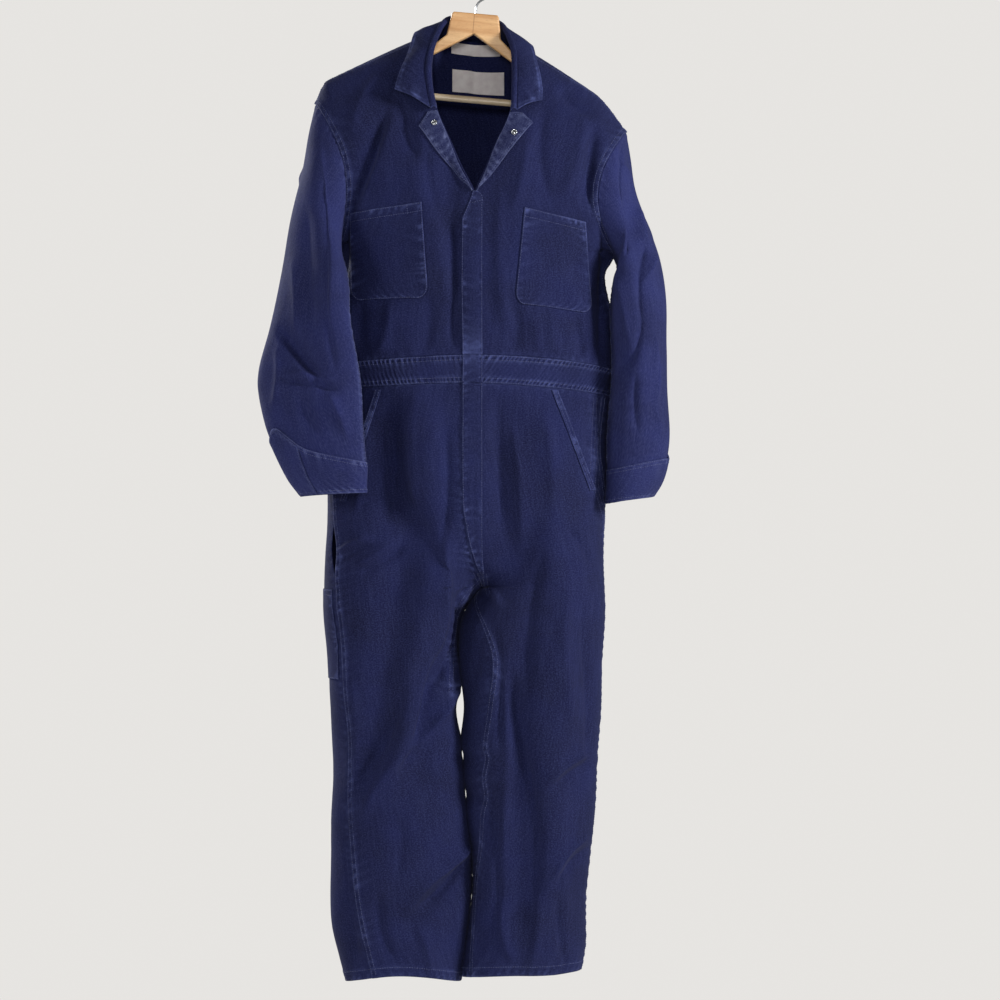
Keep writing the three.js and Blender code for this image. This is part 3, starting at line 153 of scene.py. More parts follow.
RIGHT["sleeve"] = table("share out_x out_drop out_y in_x in_drop in_y front back curl full", [
    (0 / 11, -267, 214, 0, -228, 447, 0, 62, 58, 30, 0),
    (1 / 11, -281, 272, -3, -219, 480, -42, 60, 54, 6, 0.8),
    (2 / 11, -294, 339, -8, -211, 519, -74, 54, 50, 0, 1),
    (3 / 11, -308, 414, -14, -206, 563, -94, 47, 45, 0, 0.8),
    (4 / 11, -323, 497, -20, -199, 608, -98, 42, 38, 0, 0.4),
    (5 / 11, -340, 587, -26, -192, 653, -102, 39, 35, 0, 0),
    (6 / 11, -358, 657, -32, -187, 698, -103, 38, 33, 0, 0),
    (7 / 11, -359, 695, -36, -185, 730, -103, 37, 32, 0, 0),
    (8 / 11, -347, 743, -44, -182, 769, -106, 36, 30, 0, 0),
    (9 / 11, -329, 786, -50, -180, 814, -108, 34, 28, 0, 0),
    (10 / 11, -308, 830, -54, -181, 837, -108, 33, 27, 0, 0),
    (11 / 11, -286, 860, -58, -181, 856, -108, 32, 26, 0, 0),
])
LEFT["sleeve"] = table("share out_x out_drop out_y in_x in_drop in_y front back curl full", [
    (0 / 11, 243, 260, 0, 222, 463, 0, 68, 60, 36, 0),
    (1 / 11, 252, 305, -2, 229, 491, -6, 68, 58, 6, 0.8),
    (2 / 11, 261, 355, -4, 222, 520, -12, 66, 56, 0, 0.5),
    (3 / 11, 277, 405, -6, 219, 557, -16, 64, 54, 0, 0),
    (4 / 11, 298, 468, -8, 219, 595, -20, 61, 52, 0, 0),
    (5 / 11, 309, 537, -10, 219, 636, -24, 59, 50, 0, 0),
    (6 / 11, 308, 611, -12, 219, 682, -26, 57, 48, 0, 0),
    (7 / 11, 309, 677, -14, 217, 727, -28, 54, 46, 0, 0),
    (8 / 11, 315, 750, -16, 214.5, 768, -30, 50, 42, 0, 0),
    (9 / 11, 311, 795, -18, 212, 816, -32, 46, 38, 0, 0),
    (10 / 11, 301, 833, -18, 210.5, 849, -32, 44, 36, 0, 0),
    (11 / 11, 285, 859, -18, 210, 872, -32, 42, 34, 0, 0),
])
RIGHT["seat"] = table("v outer centre front back outseam", [
    (0.0, -236, -11, 92, 90, 8),
    (0.3, -244, -14, 99, 104, 14),
    (0.55, -248, -17, 99, 112, 22),
    (0.78, -249, -17, 95, 104, 28),
    (1.0, -251, 4, 88, 94, 34),
])
LEFT["seat"] = table("v outer centre front back outseam", [
    (0.0, 222, -11, 92, 90, 18),
    (0.3, 219, -14, 99, 104, 22),
    (0.55, 213, -17, 99, 112, 10),
    (0.78, 208, -17, 95, 104, -2),
    (1.0, 208, 4, 88, 94, -6),
])
RIGHT["leg"] = table("drop outer inner front back outseam inseam", [
    (1009, -251, 8, 88, 94, 34, 180),
    (1023, -251, -5, 87, 92, 35, 184),
    (1040, -251, -18, 86, 90, 36, 188),
    (1072, -250, -27, 84, 87, 39, 192),
    (1130, -247, -30, 80, 82, 42, 196),
    (1204, -243, -36, 76, 77, 43, 198),
    (1268, -241.5, -30, 73, 73, 43, 199.5),
    (1286, -241, -31.5, 72, 72, 43, 200),
    (1320, -240.5, -26, 71, 71, 43, 200),
    (1350, -240, -24.5, 70, 69.5, 43, 200),
    (1378, -240.5, -18.5, 69.5, 68, 43.5, 200),
    (1430, -242, -12.5, 68, 66, 45, 200),
    (1500, -244, -9.5, 67, 63, 50, 200),
    (1560, -240, -14.5, 66, 60, 55, 200),
    (1610, -229, -22.5, 65, 58, 58, 200),
    (HEM_DROP, -219, -28.5, 64, 56, 60, 200),
])
LEFT["leg"] = table("drop outer inner front back outseam inseam", [
    (1009, 208, 8, 88, 94, -6, 180),
    (1023, 208, -5, 87, 92, -6, 170),
    (1040, 208, -16, 86, 90, -6, 153),
    (1072, 207, -29, 84, 87, -6, 133),
    (1130, 205, -31, 80, 82, -6, 122),
    (1204, 201, -21, 76, 77, -6, 131),
    (1268, 197, -30.5, 73, 73, -6, 132),
    (1286, 196, -26, 72, 72, -6, 132),
    (1320, 194, -27.5, 71, 71, -6, 134.5),
    (1350, 192, -19, 70, 69.5, -6, 137),
    (1378, 189.5, -20.5, 69.5, 68, -6, 140.5),
    (1430, 184, -14.5, 68, 66, -6, 148),
    (1500, 179, -11.5, 67, 63, -6, 160),
    (1560, 178, -16.5, 66, 60, -6, 158),
    (1610, 176, -24.5, 65, 58, -6, 153),
    (HEM_DROP, 168, -30.5, 64, 56, -6, 146),
])
COLLAR = table("along roll_x roll_drop roll_y edge_x edge_drop edge_y", [
    (0.0, -71, 233, -88, -134, 201, -78),
    (0.3, -79, 182, -74, -130, 184, -68),
    (0.65, -79, 150, -56, -122, 158, -52),
    (0.88, -72, 118, -38, -114, 134, -30),
    (1.0, -60, 86, -12, -104, 95, 0),
    (1.5, -42, 66, 26, -78, 112, 58),
    (2.0, -5, 64, 46, -5, 124, 86),
    (2.5, 32, 73, 26, 68, 124, 58),
    (3.0, 49, 99, -12, 90, 117, 0),
    (3.12, 58, 128, -38, 96, 148, -30),
    (3.35, 60, 160, -56, 101, 170, -52),
    (3.7, 60, 192, -74, 105, 198, -68),
    (4.0, 58, 237, -88, 104, 220, -78),
])
RIGHT["lapel"] = table("w fold_drop edge_x edge_drop", [
    (0.0, 366, -7, 368),
    (0.3, 325, -38, 336),
    (0.6, 284, -66, 303),
    (0.85, 252, -91.5, 266.5),
    (0.88, 249, -94.5, 262),
    (0.9, 247, -92, 258.5),
    (1.0, 237, -80, 238),
])
LEFT["lapel"] = table("w fold_drop edge_x edge_drop", [
    (0.0, 366, -3, 368),
    (0.3, 332, 26, 338),
    (0.6, 292, 56, 298),
    (0.85, 257, 85, 260.5),
    (0.88, 254, 89, 256),
    (0.9, 252, 86.5, 253),
    (1.0, 240, 72, 239),
])
print("stations:", len(RIGHT["bodice"]["v"]), "bodice,", len(RIGHT["leg"]["drop"]), "leg")

# %% [markdown]
# ## Curves through the tables
# A chain of straight lines would show a kink at each row. A cubic curve that passes every row with the
# slope of its neighbours has none. It could be a curve object, but numpy works it out for a whole grid
# of points at once, which is quick enough to redo the suit after each change.


# %% Helpers on whole arrays
def mix(a, b, t):
    """The value a share t of the way from a to b."""
    return a + (b - a) * t


def clamp01(t):
    """The value, held between 0 and 1."""
    return np.clip(t, 0.0, 1.0)


def ease(a, b, x):
    """0 before a, 1 after b, and a smooth step 3t^2 - 2t^3 between them."""
    t = clamp01((x - a) / (b - a))
    return t * t * (3 - 2 * t)


def place(x, y, drop):
    """Points from x, y and drop arrays."""
    return np.stack(np.broadcast_arrays(x, y, -np.asarray(drop, float)), -1).astype(float)


def unit(v):
    """Vectors at length 1, in the same directions."""
    return v / np.maximum(np.linalg.norm(v, axis=-1, keepdims=True), 1e-9)


def column(rows, key, at, name):
    """A table's column at any station: cubic pieces whose slope at each row is that between the
    rows before and after it."""
    keys, values = rows[key], rows[name]
    last = len(keys) - 1
    here = np.arange(last + 1)
    before, after = np.maximum(here - 1, 0), np.minimum(here + 1, last)
    slope = (values[after] - values[before]) / (keys[after] - keys[before])
    i = np.searchsorted(keys[1:last], np.asarray(at, float))
    span = keys[i + 1] - keys[i]
    t = clamp01((at - keys[i]) / span)
    rise, fall = 3 * t**2 - 2 * t**3, 2 * t**3 - 3 * t**2 + 1
    leave, reach = t**3 - 2 * t**2 + t, t**3 - t**2
    return values[i] * fall + values[i + 1] * rise + span * (slope[i] * leave + slope[i + 1] * reach)


print("centre back at half height:", column(CENTRE_BACK, "v", 0.5, "drop"))

# %% [markdown]
# ## The surfaces of the pattern
# Each panel is a function of two shares, u across and v down or up. A sleeve and a leg are rings that
# change along their length; the chest hangs straight between armhole and front edge, while the waist
# bends like a quarter of an ellipse. Neighbours share the curve of their seam, so nothing gapes.


# %% Sleeves
def sleeve_point(side, share, angle):
    """Ring of a sleeve: cosine runs from the inner edge to the outer one, sine gives the depth.
    Angle 0 is the outer edge, 180 the inner one, and positive angles lie in front."""

    def get(name):
        return column(side["sleeve"], "share", share, name)

    c, s = np.cos(np.radians(angle)), np.sin(np.radians(angle))
    out = (1 + c) / 2
    wide = np.where(s < 0, mix(out, np.sqrt(out), clamp01(get("full"))), out)
    depth = np.where(s > 0, get("front"), get("back"))
    x = mix(get("in_x"), get("out_x"), wide) - side["sign"] * np.maximum(0, get("curl")) * s * s
    y = mix(get("in_y"), get("out_y"), out) - depth * s
    return place(x, y, mix(get("in_drop"), get("out_drop"), out))


# %% Bodice
def front_edge(side, v):
    """The line of the centre front and then of the neck's fold."""
    return place(*(column(side["bodice"], "v", v, name) for name in ("edge_x", "edge_y", "edge_drop")))


def row_start(side, face, v):
    """Where a bodice row begins: on the side seam below the underarm, on the armhole above it."""
    v = np.asarray(v, float)
    armhole = sleeve_point(side, 0.0, face * 180 * (1 - clamp01((v - UNDERARM) / (1 - UNDERARM))))
    drop = mix(WAIST_TOP + side["waist_sag"], side["sleeve"]["in_drop"][0], v / UNDERARM)
    seam = place(column(side["bodice"], "v", v, "side"), 0, drop)
    return np.where((v > UNDERARM)[..., None], armhole, seam)


def shoulder_rise(side, run):
    """Quarter of a sine up to the peak over the hanger's end, then a falling power."""
    up = side["rise"] * np.sin(clamp01(run / side["peak_at"]) * math.pi / 2)
    down = side["rise"] * clamp01((1 - run) / (1 - side["peak_at"])) ** SHOULDER_FALL
    return np.where(run < side["peak_at"], up, down)


def back_top(side, t):
    """The shoulder seam, a straight line lifted by the shoulder's rise, then a quarter of an
    ellipse round the neck."""
    tip, neck = sleeve_point(side, 0.0, 0.0), front_edge(side, 1.0)
    run = np.asarray(t, float) / NECK_SHARE
    seam = mix(tip, neck, clamp01(run)[..., None])
    seam[..., 2] += shoulder_rise(side, clamp01(run))
    turn = clamp01((np.asarray(t, float) - NECK_SHARE) / (1 - NECK_SHARE)) * math.pi / 2
    y, drop = CENTRE_BACK["y"][-1], CENTRE_BACK["drop"][-1]
    x = mix(CENTRE_BACK_X, neck[0], np.cos(turn))
    ring = place(x, mix(neck[1], y, np.sin(turn)), mix(-neck[2], drop, 1 - np.cos(turn)))
    return np.where((run <= 1)[..., None], seam, ring)


def bodice_point(side, face, t, v):
    """A row from side to middle: low rows are a quarter of an ellipse, high ones straight with a
    sine of bulge, and the shoulder's rise is added towards the top."""
    front = face > 0
    start = row_start(side, face, v)
    if front:
        end = front_edge(side, v)
    else:
        end = place(CENTRE_BACK_X, column(CENTRE_BACK, "v", v, "y"), column(CENTRE_BACK, "v", v, "drop"))
    rounding = 1 - ease(UNDERARM, 0.8, v)
    turn = t * math.pi / 2
    across = mix(t, 1 - np.cos(turn), rounding)
    fall = mix(1 - across, (1 - across) ** 2, rounding)
    bulge = CHEST_BULGE * np.sin(math.pi * t) * (1 - rounding) * (1 - ease(0.85, 1, v))
    y = mix(start[..., 1], end[..., 1], mix(t, np.sin(turn), rounding)) - face * bulge
    z = mix(end[..., 2], start[..., 2], fall)
    top = ease(0.7, 1, v)
    z = z + shoulder_rise(side, t if front else np.minimum(1, t / NECK_SHARE)) * top
    point = place(mix(start[..., 0], end[..., 0], across), y, -z)
    if front:
        return point
    left_over = np.maximum(0, 1 - t / NECK_SHARE)[..., None]
    raised = (start - sleeve_point(side, 0.0, 0.0)) * left_over
    return mix(point, back_top(side, t) + raised, (top**5)[..., None])


# %% Trousers
def leg_ring(side, drop, angle):
    """Half ellipses in front and behind, of different depths, on one width."""

    def get(name):
        return column(side["leg"], "drop", drop, name)

    s = np.sin(np.radians(angle))
    depth = np.where(s > 0, get("front"), get("back"))
    return place(mix(get("inner"), get("outer"), (1 + np.cos(np.radians(angle))) / 2), -depth * s, drop)


def leg_angle(face, outseam, inseam, t):
    """Angle on the leg's ring: the front runs over 90 degrees, the back under it the other way."""
    return mix(outseam, inseam if face > 0 else inseam - 360, t)


def seat_point(side, face, t, v):
    """The body's ellipse above, the leg's ring below, and a quarter circle between them at the
    centre line, where the cloth turns under to the crotch."""

    def get(name):
        return column(side["seat"], "v", v, name)

    gape = VENT[2] * np.sin(math.pi * ease(VENT[0], VENT[1], v)) if side is RIGHT else 0
    outseam = get("outseam") + face * gape * (1 - t)
    angle = np.radians(mix(outseam, face * 90, t))
    depth = np.where(np.sin(angle) > 0, get("front"), get("back"))
    reach = np.cos(angle)
    body = place(mix(get("centre"), get("outer"), reach), -depth * np.sin(angle), 0)
    leg = leg_ring(side, float(CROTCH), leg_angle(face, outseam, 180, t))
    centre = ease(0.4, 0.85, t)
    begin = mix(SIDE_TURN, FRONT_TURN if face > 0 else BACK_TURN, centre)
    q = clamp01((v - begin) / (1 - begin))
    point = mix(body, leg, mix(ease(0, 1, q), 1 - np.sqrt(1 - q * q), centre)[..., None])
    point[..., 2] = -mix(WAIST_BOTTOM + side["band_sag"] * reach * reach, CROTCH, v)
    return point


def trouser_point(side, face, t, v):
    """The seat down to the crotch, and the leg's rings below it to the hem with its uneven dip."""
    t, v = np.broadcast_arrays(np.asarray(t, float), np.asarray(v, float))
    seat = seat_point(side, face, t, clamp01(v / SEAT_SHARE))
    share = clamp01((v - SEAT_SHARE) / (1 - SEAT_SHARE))
    drop = mix(CROTCH, HEM_DROP, share)
    seams = [column(side["leg"], "drop", drop, name) for name in ("outseam", "inseam")]
    angle = leg_angle(face, *seams, t)
    c = np.cos(np.radians(angle))
    outer, inner, middle = side["hem_dip"]
    leg = leg_ring(side, drop, angle)
    leg[..., 2] -= (middle + (np.where(c > 0, outer, inner) - middle) * c * c) * ease(0.8, 1, share)
    return np.where((v <= SEAT_SHARE)[..., None], seat, leg)


# %% Waistband and whole backs
def waist_point(side, face, t, v):
    """Straight lines from the bodice's lowest row to the seat's highest."""
    t, v = np.broadcast_arrays(np.asarray(t, float), np.asarray(v, float))
    zero = np.zeros_like(t)
    return mix(bodice_point(side, face, t, zero), seat_point(side, face, t, zero), v[..., None])


def whole_back(half):
    """A back in one piece, u from the right side seam to the left one."""

    def surface(u, v):
        right = half(RIGHT, -1, clamp01(2 * u), v)
        left = half(LEFT, -1, clamp01(2 - 2 * u), v)
        return np.where((u <= 0.5)[..., None], right, left)

    return surface


print("underarm at", row_start(RIGHT, 1, np.array(UNDERARM)))

# %% [markdown]
# ## Folds, creases and rumples
# Cloth hangs in broad soft folds, with narrower creases where it was bent sharply, and over both lies
# the small unevenness of twill that has been washed and hung. A cloth simulation gives folds of its own
# choosing; these follow the real garment, so each fold is a line given with a width and a height.
# Heights push the cloth out or in along its own direction. Lines are x and drop of both ends, the bow of
# the middle, the width and the height.

# %% Broad folds, on the same lines as in the solids
FOLDS = {
    "right_front": [
        (-150, 247, -192, 372, 0, 18, -9),
        (-48, 300, -30, 610, 0, 20, -8),
        (-86, 262, -72, 570, 0, 28, 6),
        (-150, 530, -140, 650, 0, 26, -5),
    ],
    "left_front": [
        (190, 270, 180, 380, 0, 14, -9),
        (200, 520, 204, 640, 0, 13, -7),
        (70, 262, 60, 570, 0, 34, 6),
        (130, 530, 120, 650, 0, 28, -5),
    ],
    "back": [
        (-170, 250, -150, 560, 0, 22, -9),
        (-95, 200, -85, 600, 0, 32, 6),
        (-20, 260, -12, 600, 0, 26, -6),
        (70, 230, 62, 580, 0, 30, 6),
        (150, 280, 140, 590, 0, 22, -9),
    ],
    "right_front_leg": [
        (-140, 700, -135, 900, 0, 30, -8),
        (-78, 700, -70, 880, 0, 30, 8),
        (-56, 935, -150, 1350, 0, 27, 10),
        (-112, 900, -172, 1300, 0, 30, -10),
        (-52, 1040, -100, 1330, 0, 24, -7),
        (-36, 1470, -112, 1565, 0, 24, -7),
    ],
    "left_front_leg": [
        (48, 700, 40, 960, 0, 26, -8),
        (120, 720, 110, 1000, 0, 34, 7),
        (62, 1100, 66, 1560, 0, 24, -10),
        (132, 1080, 122, 1560, 0, 32, 7),
    ],
    "right_back_leg": [
        (-160, 760, -150, 1300, 0, 28, -10),
        (-95, 860, -110, 1500, 0, 26, 9),
    ],
    "left_back_leg": [
        (140, 760, 128, 1320, 0, 28, -10),
        (80, 860, 85, 1500, 0, 26, 9),
    ],
    "right_sleeve_front": [
        (-252, 262, -238, 470, 0, 15, -7),
        (-312, 597, -248, 680, 0, 17, -7),
    ],
    "left_sleeve_front": [
        (250, 285, 262, 470, 0, 14, -8),
        (258, 490, 262, 720, 0, 18, 5),
    ],
    "right_sleeve_back": [
        (-262, 280, -272, 520, 0, 17, -7),
    ],
    "left_sleeve_back": [
        (250, 290, 268, 500, 0, 16, -7),
    ],
}

# %% Creases: narrow lines with a pointed crest
CREASES = {
    "right_front": [
        (-151, 246, -201, 385, 4, 7, -3.2),
        (-138, 249, -190, 389, 5, 10, 2.6),
        (-119, 226, -99, 310, -6, 15, -4.5),
        (-80, 301, -51, 433, -8, 13, -3.0),
        (-46, 314, -25, 365, 2, 7, -2.6),
        (-64, 389, -49, 543, -5, 14, 2.6),
        (-41, 422, -40, 624, 3, 10, -3.4),
        (-77, 543, -86, 627, 4, 13, -2.4),
        (-141, 553, -161, 633, 6, 15, 2.4),
        (-187, 549, -180, 630, -4, 11, -2.2),
        (-214, 482, -208, 620, 3, 12, 2.8),
        (-233, 301, -222, 591, 8, 9, -4.0),
        (-167, 175, -203, 265, -4, 14, 2.4),
        (-128, 165, -145, 220, 3, 10, -2.0),
    ],
    "left_front": [
        (188, 268, 185, 389, -5, 8, -3.4),
        (203, 406, 201, 616, 5, 9, -3.4),
        (170, 246, 143, 365, 5, 13, 2.4),
        (109, 239, 114, 365, -7, 15, -2.8),
        (82, 285, 56, 398, 5, 12, 2.2),
        (35, 381, 46, 591, -5, 13, 2.6),
        (62, 551, 56, 637, 4, 12, -2.8),
        (120, 562, 127, 650, -4, 14, 2.6),
        (159, 569, 169, 650, 3, 9, -2.2),
        (135, 194, 182, 239, -5, 12, -2.2),
        (204, 465, 220, 482, 2, 5, -2.4),
        (91, 572, 94, 643, 2, 8, 1.8),
    ],
    "right_front_leg": [
        (-50, 939, -80, 1133, 10, 10, 5.0),
        (-80, 1133, -122, 1263, 6, 12, 4.0),
        (-33, 1028, -74, 1174, 12, 8, -4.6),
        (-74, 1130, -122, 1306, 8, 10, -5.0),
        (-27, 1131, -67, 1229, 8, 9, 4.4),
        (-71, 1235, -187, 1381, -12, 13, 4.6),
        (-119, 1174, -207, 1335, 10, 16, -4.2),
        (-41, 1047, -50, 1190, -4, 6, 2.8),
        (-17, 1436, -64, 1476, 3, 7, 4.4),
        (-61, 1476, -113, 1536, -6, 9, 3.4),
        (-27, 1462, -87, 1523, 5, 8, -4.4),
        (-228, 953, -177, 927, 4, 5, 3.0),
        (-223, 963, -171, 940, 3, 5, -2.6),
        (-197, 970, -137, 931, -4, 6, 2.8),
        (-187, 982, -122, 944, -4, 7, -2.4),
        (-137, 753, -148, 898, 5, 12, -3.0),
        (-101, 704, -100, 866, -5, 11, 2.6),
        (-48, 753, -54, 931, 4, 9, -3.2),
        (-181, 736, -203, 898, 6, 10, 2.2),
        (-161, 1514, -139, 1611, -6, 12, -3.0),
        (-93, 1562, -80, 1630, 4, 9, 2.8),
        (-126, 1384, -132, 1481, 6, 14, -2.2),
        (-203, 1174, -197, 1352, -5, 12, 2.6),
        (14, 963, -25, 1021, 4, 6, -3.6),
        (1, 973, -35, 1047, 5, 6, 3.4),
    ],
    "left_front_leg": [
        (36, 704, 41, 898, -4, 11, -3.4),
        (56, 753, 69, 931, 6, 12, 3.0),
        (103, 963, 82, 1157, -8, 15, -3.8),
        (57, 1157, 85, 1322, -6, 12, -4.2),
        (85, 1322, 90, 1514, 5, 13, -3.8),
        (122, 1322, 179, 1280, 5, 7, 3.0),
        (127, 1335, 182, 1295, 4, 8, -2.6),
        (127, 1475, 172, 1421, 7, 7, 3.2),
        (133, 1491, 179, 1436, 6, 8, -2.8),
        (31, 1093, 36, 1254, 4, 9, -3.2),
        (46, 1190, 36, 1449, 6, 9, 2.8),
        (23, 1352, 30, 1570, 5, 9, -3.0),
        (143, 1012, 153, 1222, -6, 14, 3.2),
        (171, 1060, 179, 1287, 3, 9, -2.4),
        (101, 1514, 85, 1624, 5, 11, 2.6),
        (133, 1514, 143, 1619, -4, 10, -2.6),
        (36, 1522, 56, 1611, -6, 9, 2.4),
        (109, 736, 120, 866, 4, 12, 2.4),
        (150, 914, 182, 963, 3, 7, -2.6),
        (17, 1008, 36, 1038, 3, 5, 3.2),
    ],
    "right_sleeve_front": [
        (-317, 590, -249, 673, -3, 6, -3.6),
        (-323, 600, -259, 686, -4, 8, 3.2),
        (-305, 675, -228, 691, 3, 6, -3.2),
        (-307, 664, -236, 673, 3, 6, 2.6),
        (-256, 304, -236, 593, 6, 11, 3.4),
        (-277, 409, -265, 577, -6, 12, -3.0),
        (-236, 697, -201, 786, 4, 9, 2.8),
        (-285, 705, -249, 773, -3, 9, -2.8),
        (-323, 625, -330, 709, 4, 8, 2.6),
        (-301, 484, -291, 593, 3, 12, 2.4),
        (-243, 465, -230, 641, -4, 7, -2.6),
    ],
    "left_sleeve_front": [
        (236, 286, 246, 421, -4, 7, -3.6),
        (246, 421, 241, 466, 3, 6, -3.0),
        (264, 388, 277, 443, -4, 9, 3.2),
        (277, 443, 267, 577, -7, 9, -4.0),
        (267, 577, 238, 651, 5, 9, -3.2),
        (290, 466, 270, 512, 3, 5, 3.0),
        (280, 590, 288, 703, 4, 9, 2.8),
        (254, 671, 264, 768, -4, 9, -2.8),
        (235, 313, 264, 372, 4, 8, 2.6),
        (228, 505, 244, 606, 3, 8, 2.8),
        (288, 720, 300, 785, 3, 7, 2.4),
    ],
    "back": [
        (-205, 330, -120, 420, 8, 9, 3.2),
        (-190, 300, -90, 360, 6, 10, -3.0),
        (185, 320, 110, 420, -8, 9, 3.2),
        (170, 300, 80, 370, -6, 11, -3.0),
        (-60, 220, -40, 560, 10, 12, -3.2),
        (-130, 420, -110, 625, 6, 12, 3.0),
        (-170, 470, -160, 620, -5, 10, -2.8),
        (30, 330, 22, 620, -8, 12, 2.8),
        (96, 430, 90, 620, 5, 11, -3.0),
        (140, 400, 160, 610, 6, 10, 2.6),
        (-20, 140, -30, 240, 4, 14, -2.4),
        (-110, 180, -160, 260, -4, 13, 2.4),
        (90, 180, 140, 260, 4, 13, 2.4),
        (-80, 590, -10, 560, 4, 7, 2.2),
        (40, 600, 110, 575, 3, 7, -2.2),
    ],
    "right_back_leg": [
        (-200, 720, -130, 800, 8, 10, 3.2),
        (-60, 740, -110, 860, -8, 11, -3.4),
        (-30, 860, -120, 960, 8, 10, 3.4),
        (-60, 960, -150, 1020, 6, 9, -3.0),
        (-130, 1000, -170, 1200, 8, 12, 3.4),
        (-80, 1060, -100, 1300, -8, 12, -4.0),
        (-200, 1100, -190, 1400, 6, 11, 3.0),
        (-60, 1250, -150, 1320, 8, 8, 3.6),
        (-70, 1275, -140, 1340, 6, 8, -3.2),
        (-120, 1350, -90, 1600, 8, 13, 3.4),
        (-180, 1420, -200, 1620, -6, 12, -3.2),
        (-60, 1450, -64, 1640, 4, 9, 2.8),
    ],
    "left_back_leg": [
        (170, 720, 110, 810, -8, 10, 3.0),
        (50, 750, 90, 880, 8, 11, -3.4),
        (20, 860, 100, 950, -8, 10, 3.2),
        (30, 980, 130, 1040, -6, 9, -3.0),
        (110, 1010, 150, 1200, -8, 12, 3.2),
        (50, 1080, 70, 1300, 8, 12, -3.8),
        (170, 1100, 160, 1400, -6, 11, 2.8),
        (40, 1270, 130, 1330, -8, 8, 3.6),
        (50, 1295, 120, 1350, -6, 8, -3.0),
        (90, 1370, 60, 1610, -8, 13, 3.2),
        (140, 1430, 150, 1620, 6, 12, -3.0),
        (20, 1450, 24, 1640, -4, 9, 2.6),
        (30, 1030, 6, 1120, 4, 7, 3.4),
        (20, 1060, -4, 1170, -4, 6, -3.2),
    ],
    "right_sleeve_back": [
        (-300, 300, -280, 430, 6, 8, 3.2),
        (-250, 330, -300, 420, 6, 7, -2.8),
        (-330, 560, -230, 640, 6, 7, 3.8),
        (-336, 590, -228, 660, 6, 7, -3.4),
        (-340, 640, -240, 690, 5, 8, 3.0),
        (-290, 420, -300, 560, -8, 10, 3.0),
        (-260, 480, -262, 600, 5, 9, -2.8),
    ],
    "left_sleeve_back": [
        (262, 330, 290, 440, -6, 8, 3.0),
        (245, 340, 270, 460, -5, 7, -2.8),
        (302, 560, 240, 630, -6, 7, 3.6),
        (300, 590, 238, 655, -5, 7, -3.2),
        (298, 640, 250, 700, -5, 8, 2.8),
        (270, 420, 280, 560, 8, 10, 2.8),
        (250, 470, 258, 600, -5, 9, -2.6),
    ],
}
FOLD_FADE = 0.2
CREASE_DEPTH, CREASE_WIDTH = 2.4, 0.7
CREST = 0.35  # how blunt a crease's crest is: 0 would be a knife edge
FOLD_DEPTH = 1.25  # the soft folds, a little deeper than in the solids, which have thicker walls


def fold_height(rows, x, drop, crisp):
    """Sum over the lines: height times a fade at both ends times a hump across the line, which is
    a bell curve for a soft fold and a pointed one for a crease."""
    height = np.zeros(np.broadcast(x, drop).shape)
    for x1, d1, x2, d2, bow, width, depth in rows:
        dx, dd = x2 - x1, d2 - d1
        length = math.hypot(dx, dd)
        along = ((x - x1) * dx + (drop - d1) * dd) / length**2
        across = ((x - x1) * dd - (drop - d1) * dx) / length
        across = across - 4 * bow * clamp01(along) * (1 - clamp01(along))
        fade = ease(-FOLD_FADE, FOLD_FADE, along) * (1 - ease(1 - FOLD_FADE, 1 + FOLD_FADE, along))
        if crisp:
            hump = np.exp(CREST - np.hypot(across / (CREASE_WIDTH * width), CREST))
        else:
            hump = np.exp(-((across / width) ** 2))
        height += depth * fade * hump
    return height


print("creases:", sum(len(rows) for rows in CREASES.values()))


# %% Rumples: seeded hills and ridges that run along the cloth
LATTICE = 64


def hills(a, b, seed):
    """Smooth random heights from -1 to 1: numbers on a square lattice, eased between neighbours."""
    lattice = np.random.default_rng(seed).uniform(-1, 1, (LATTICE, LATTICE))
    i, j = np.floor(a).astype(int), np.floor(b).astype(int)
    s, t = ease(0, 1, a - i), ease(0, 1, b - j)

    def corner(di, dj):
        return lattice[(i + di) % LATTICE, (j + dj) % LATTICE]

    return mix(mix(corner(0, 0), corner(1, 0), s), mix(corner(0, 1), corner(1, 1), s), t)


# For each kind of panel: the lean of its hang (x per drop), and the heights of its broad unevenness,
# its ridges and its small buckles.
HANG = {
    "front": (0.04, 1.8, 0.45, 0.10),
    "back": (0.0, 2.2, 0.6, 0.12),
    "leg": (0.02, 2.8, 0.7, 0.10),
    "sleeve": (0.06, 1.8, 0.6, 0.10),
    "waistband": (0.0, 0.2, 0.1, 0.12),
}


def rumple(kind, seed, x, y, drop):
    """Three layers of hills, each longer down the cloth than across it; the middle one is folded
    to ridges by taking its distance from zero."""
    lean, broad, ridge, fine = HANG[kind]
    across = x - lean * drop + 0.6 * y
    bend = 14 * hills(across / 90, drop / 130, seed)
    soft = hills((across + bend) / 52, drop / 190, seed + 1)
    sharp = 1 - 2.2 * np.sqrt(hills((across + bend) / 46, (drop + 3 * bend) / 80, seed + 2) ** 2 + 0.02)
    small = hills(across / 9, drop / 11, seed + 3)
    return broad * soft + ridge * sharp + fine * small


# %% Sway: seams, edges and sewn-on pieces wander together
SWAY_WAVES, SWAY_SEED = 10, 11
SWAY_LENGTHS = (90, 260)
SWAY_STEP = (0.55, 0.45, 0.5)
HELD, FREE = 130, 330  # drops at which the sway begins and is whole


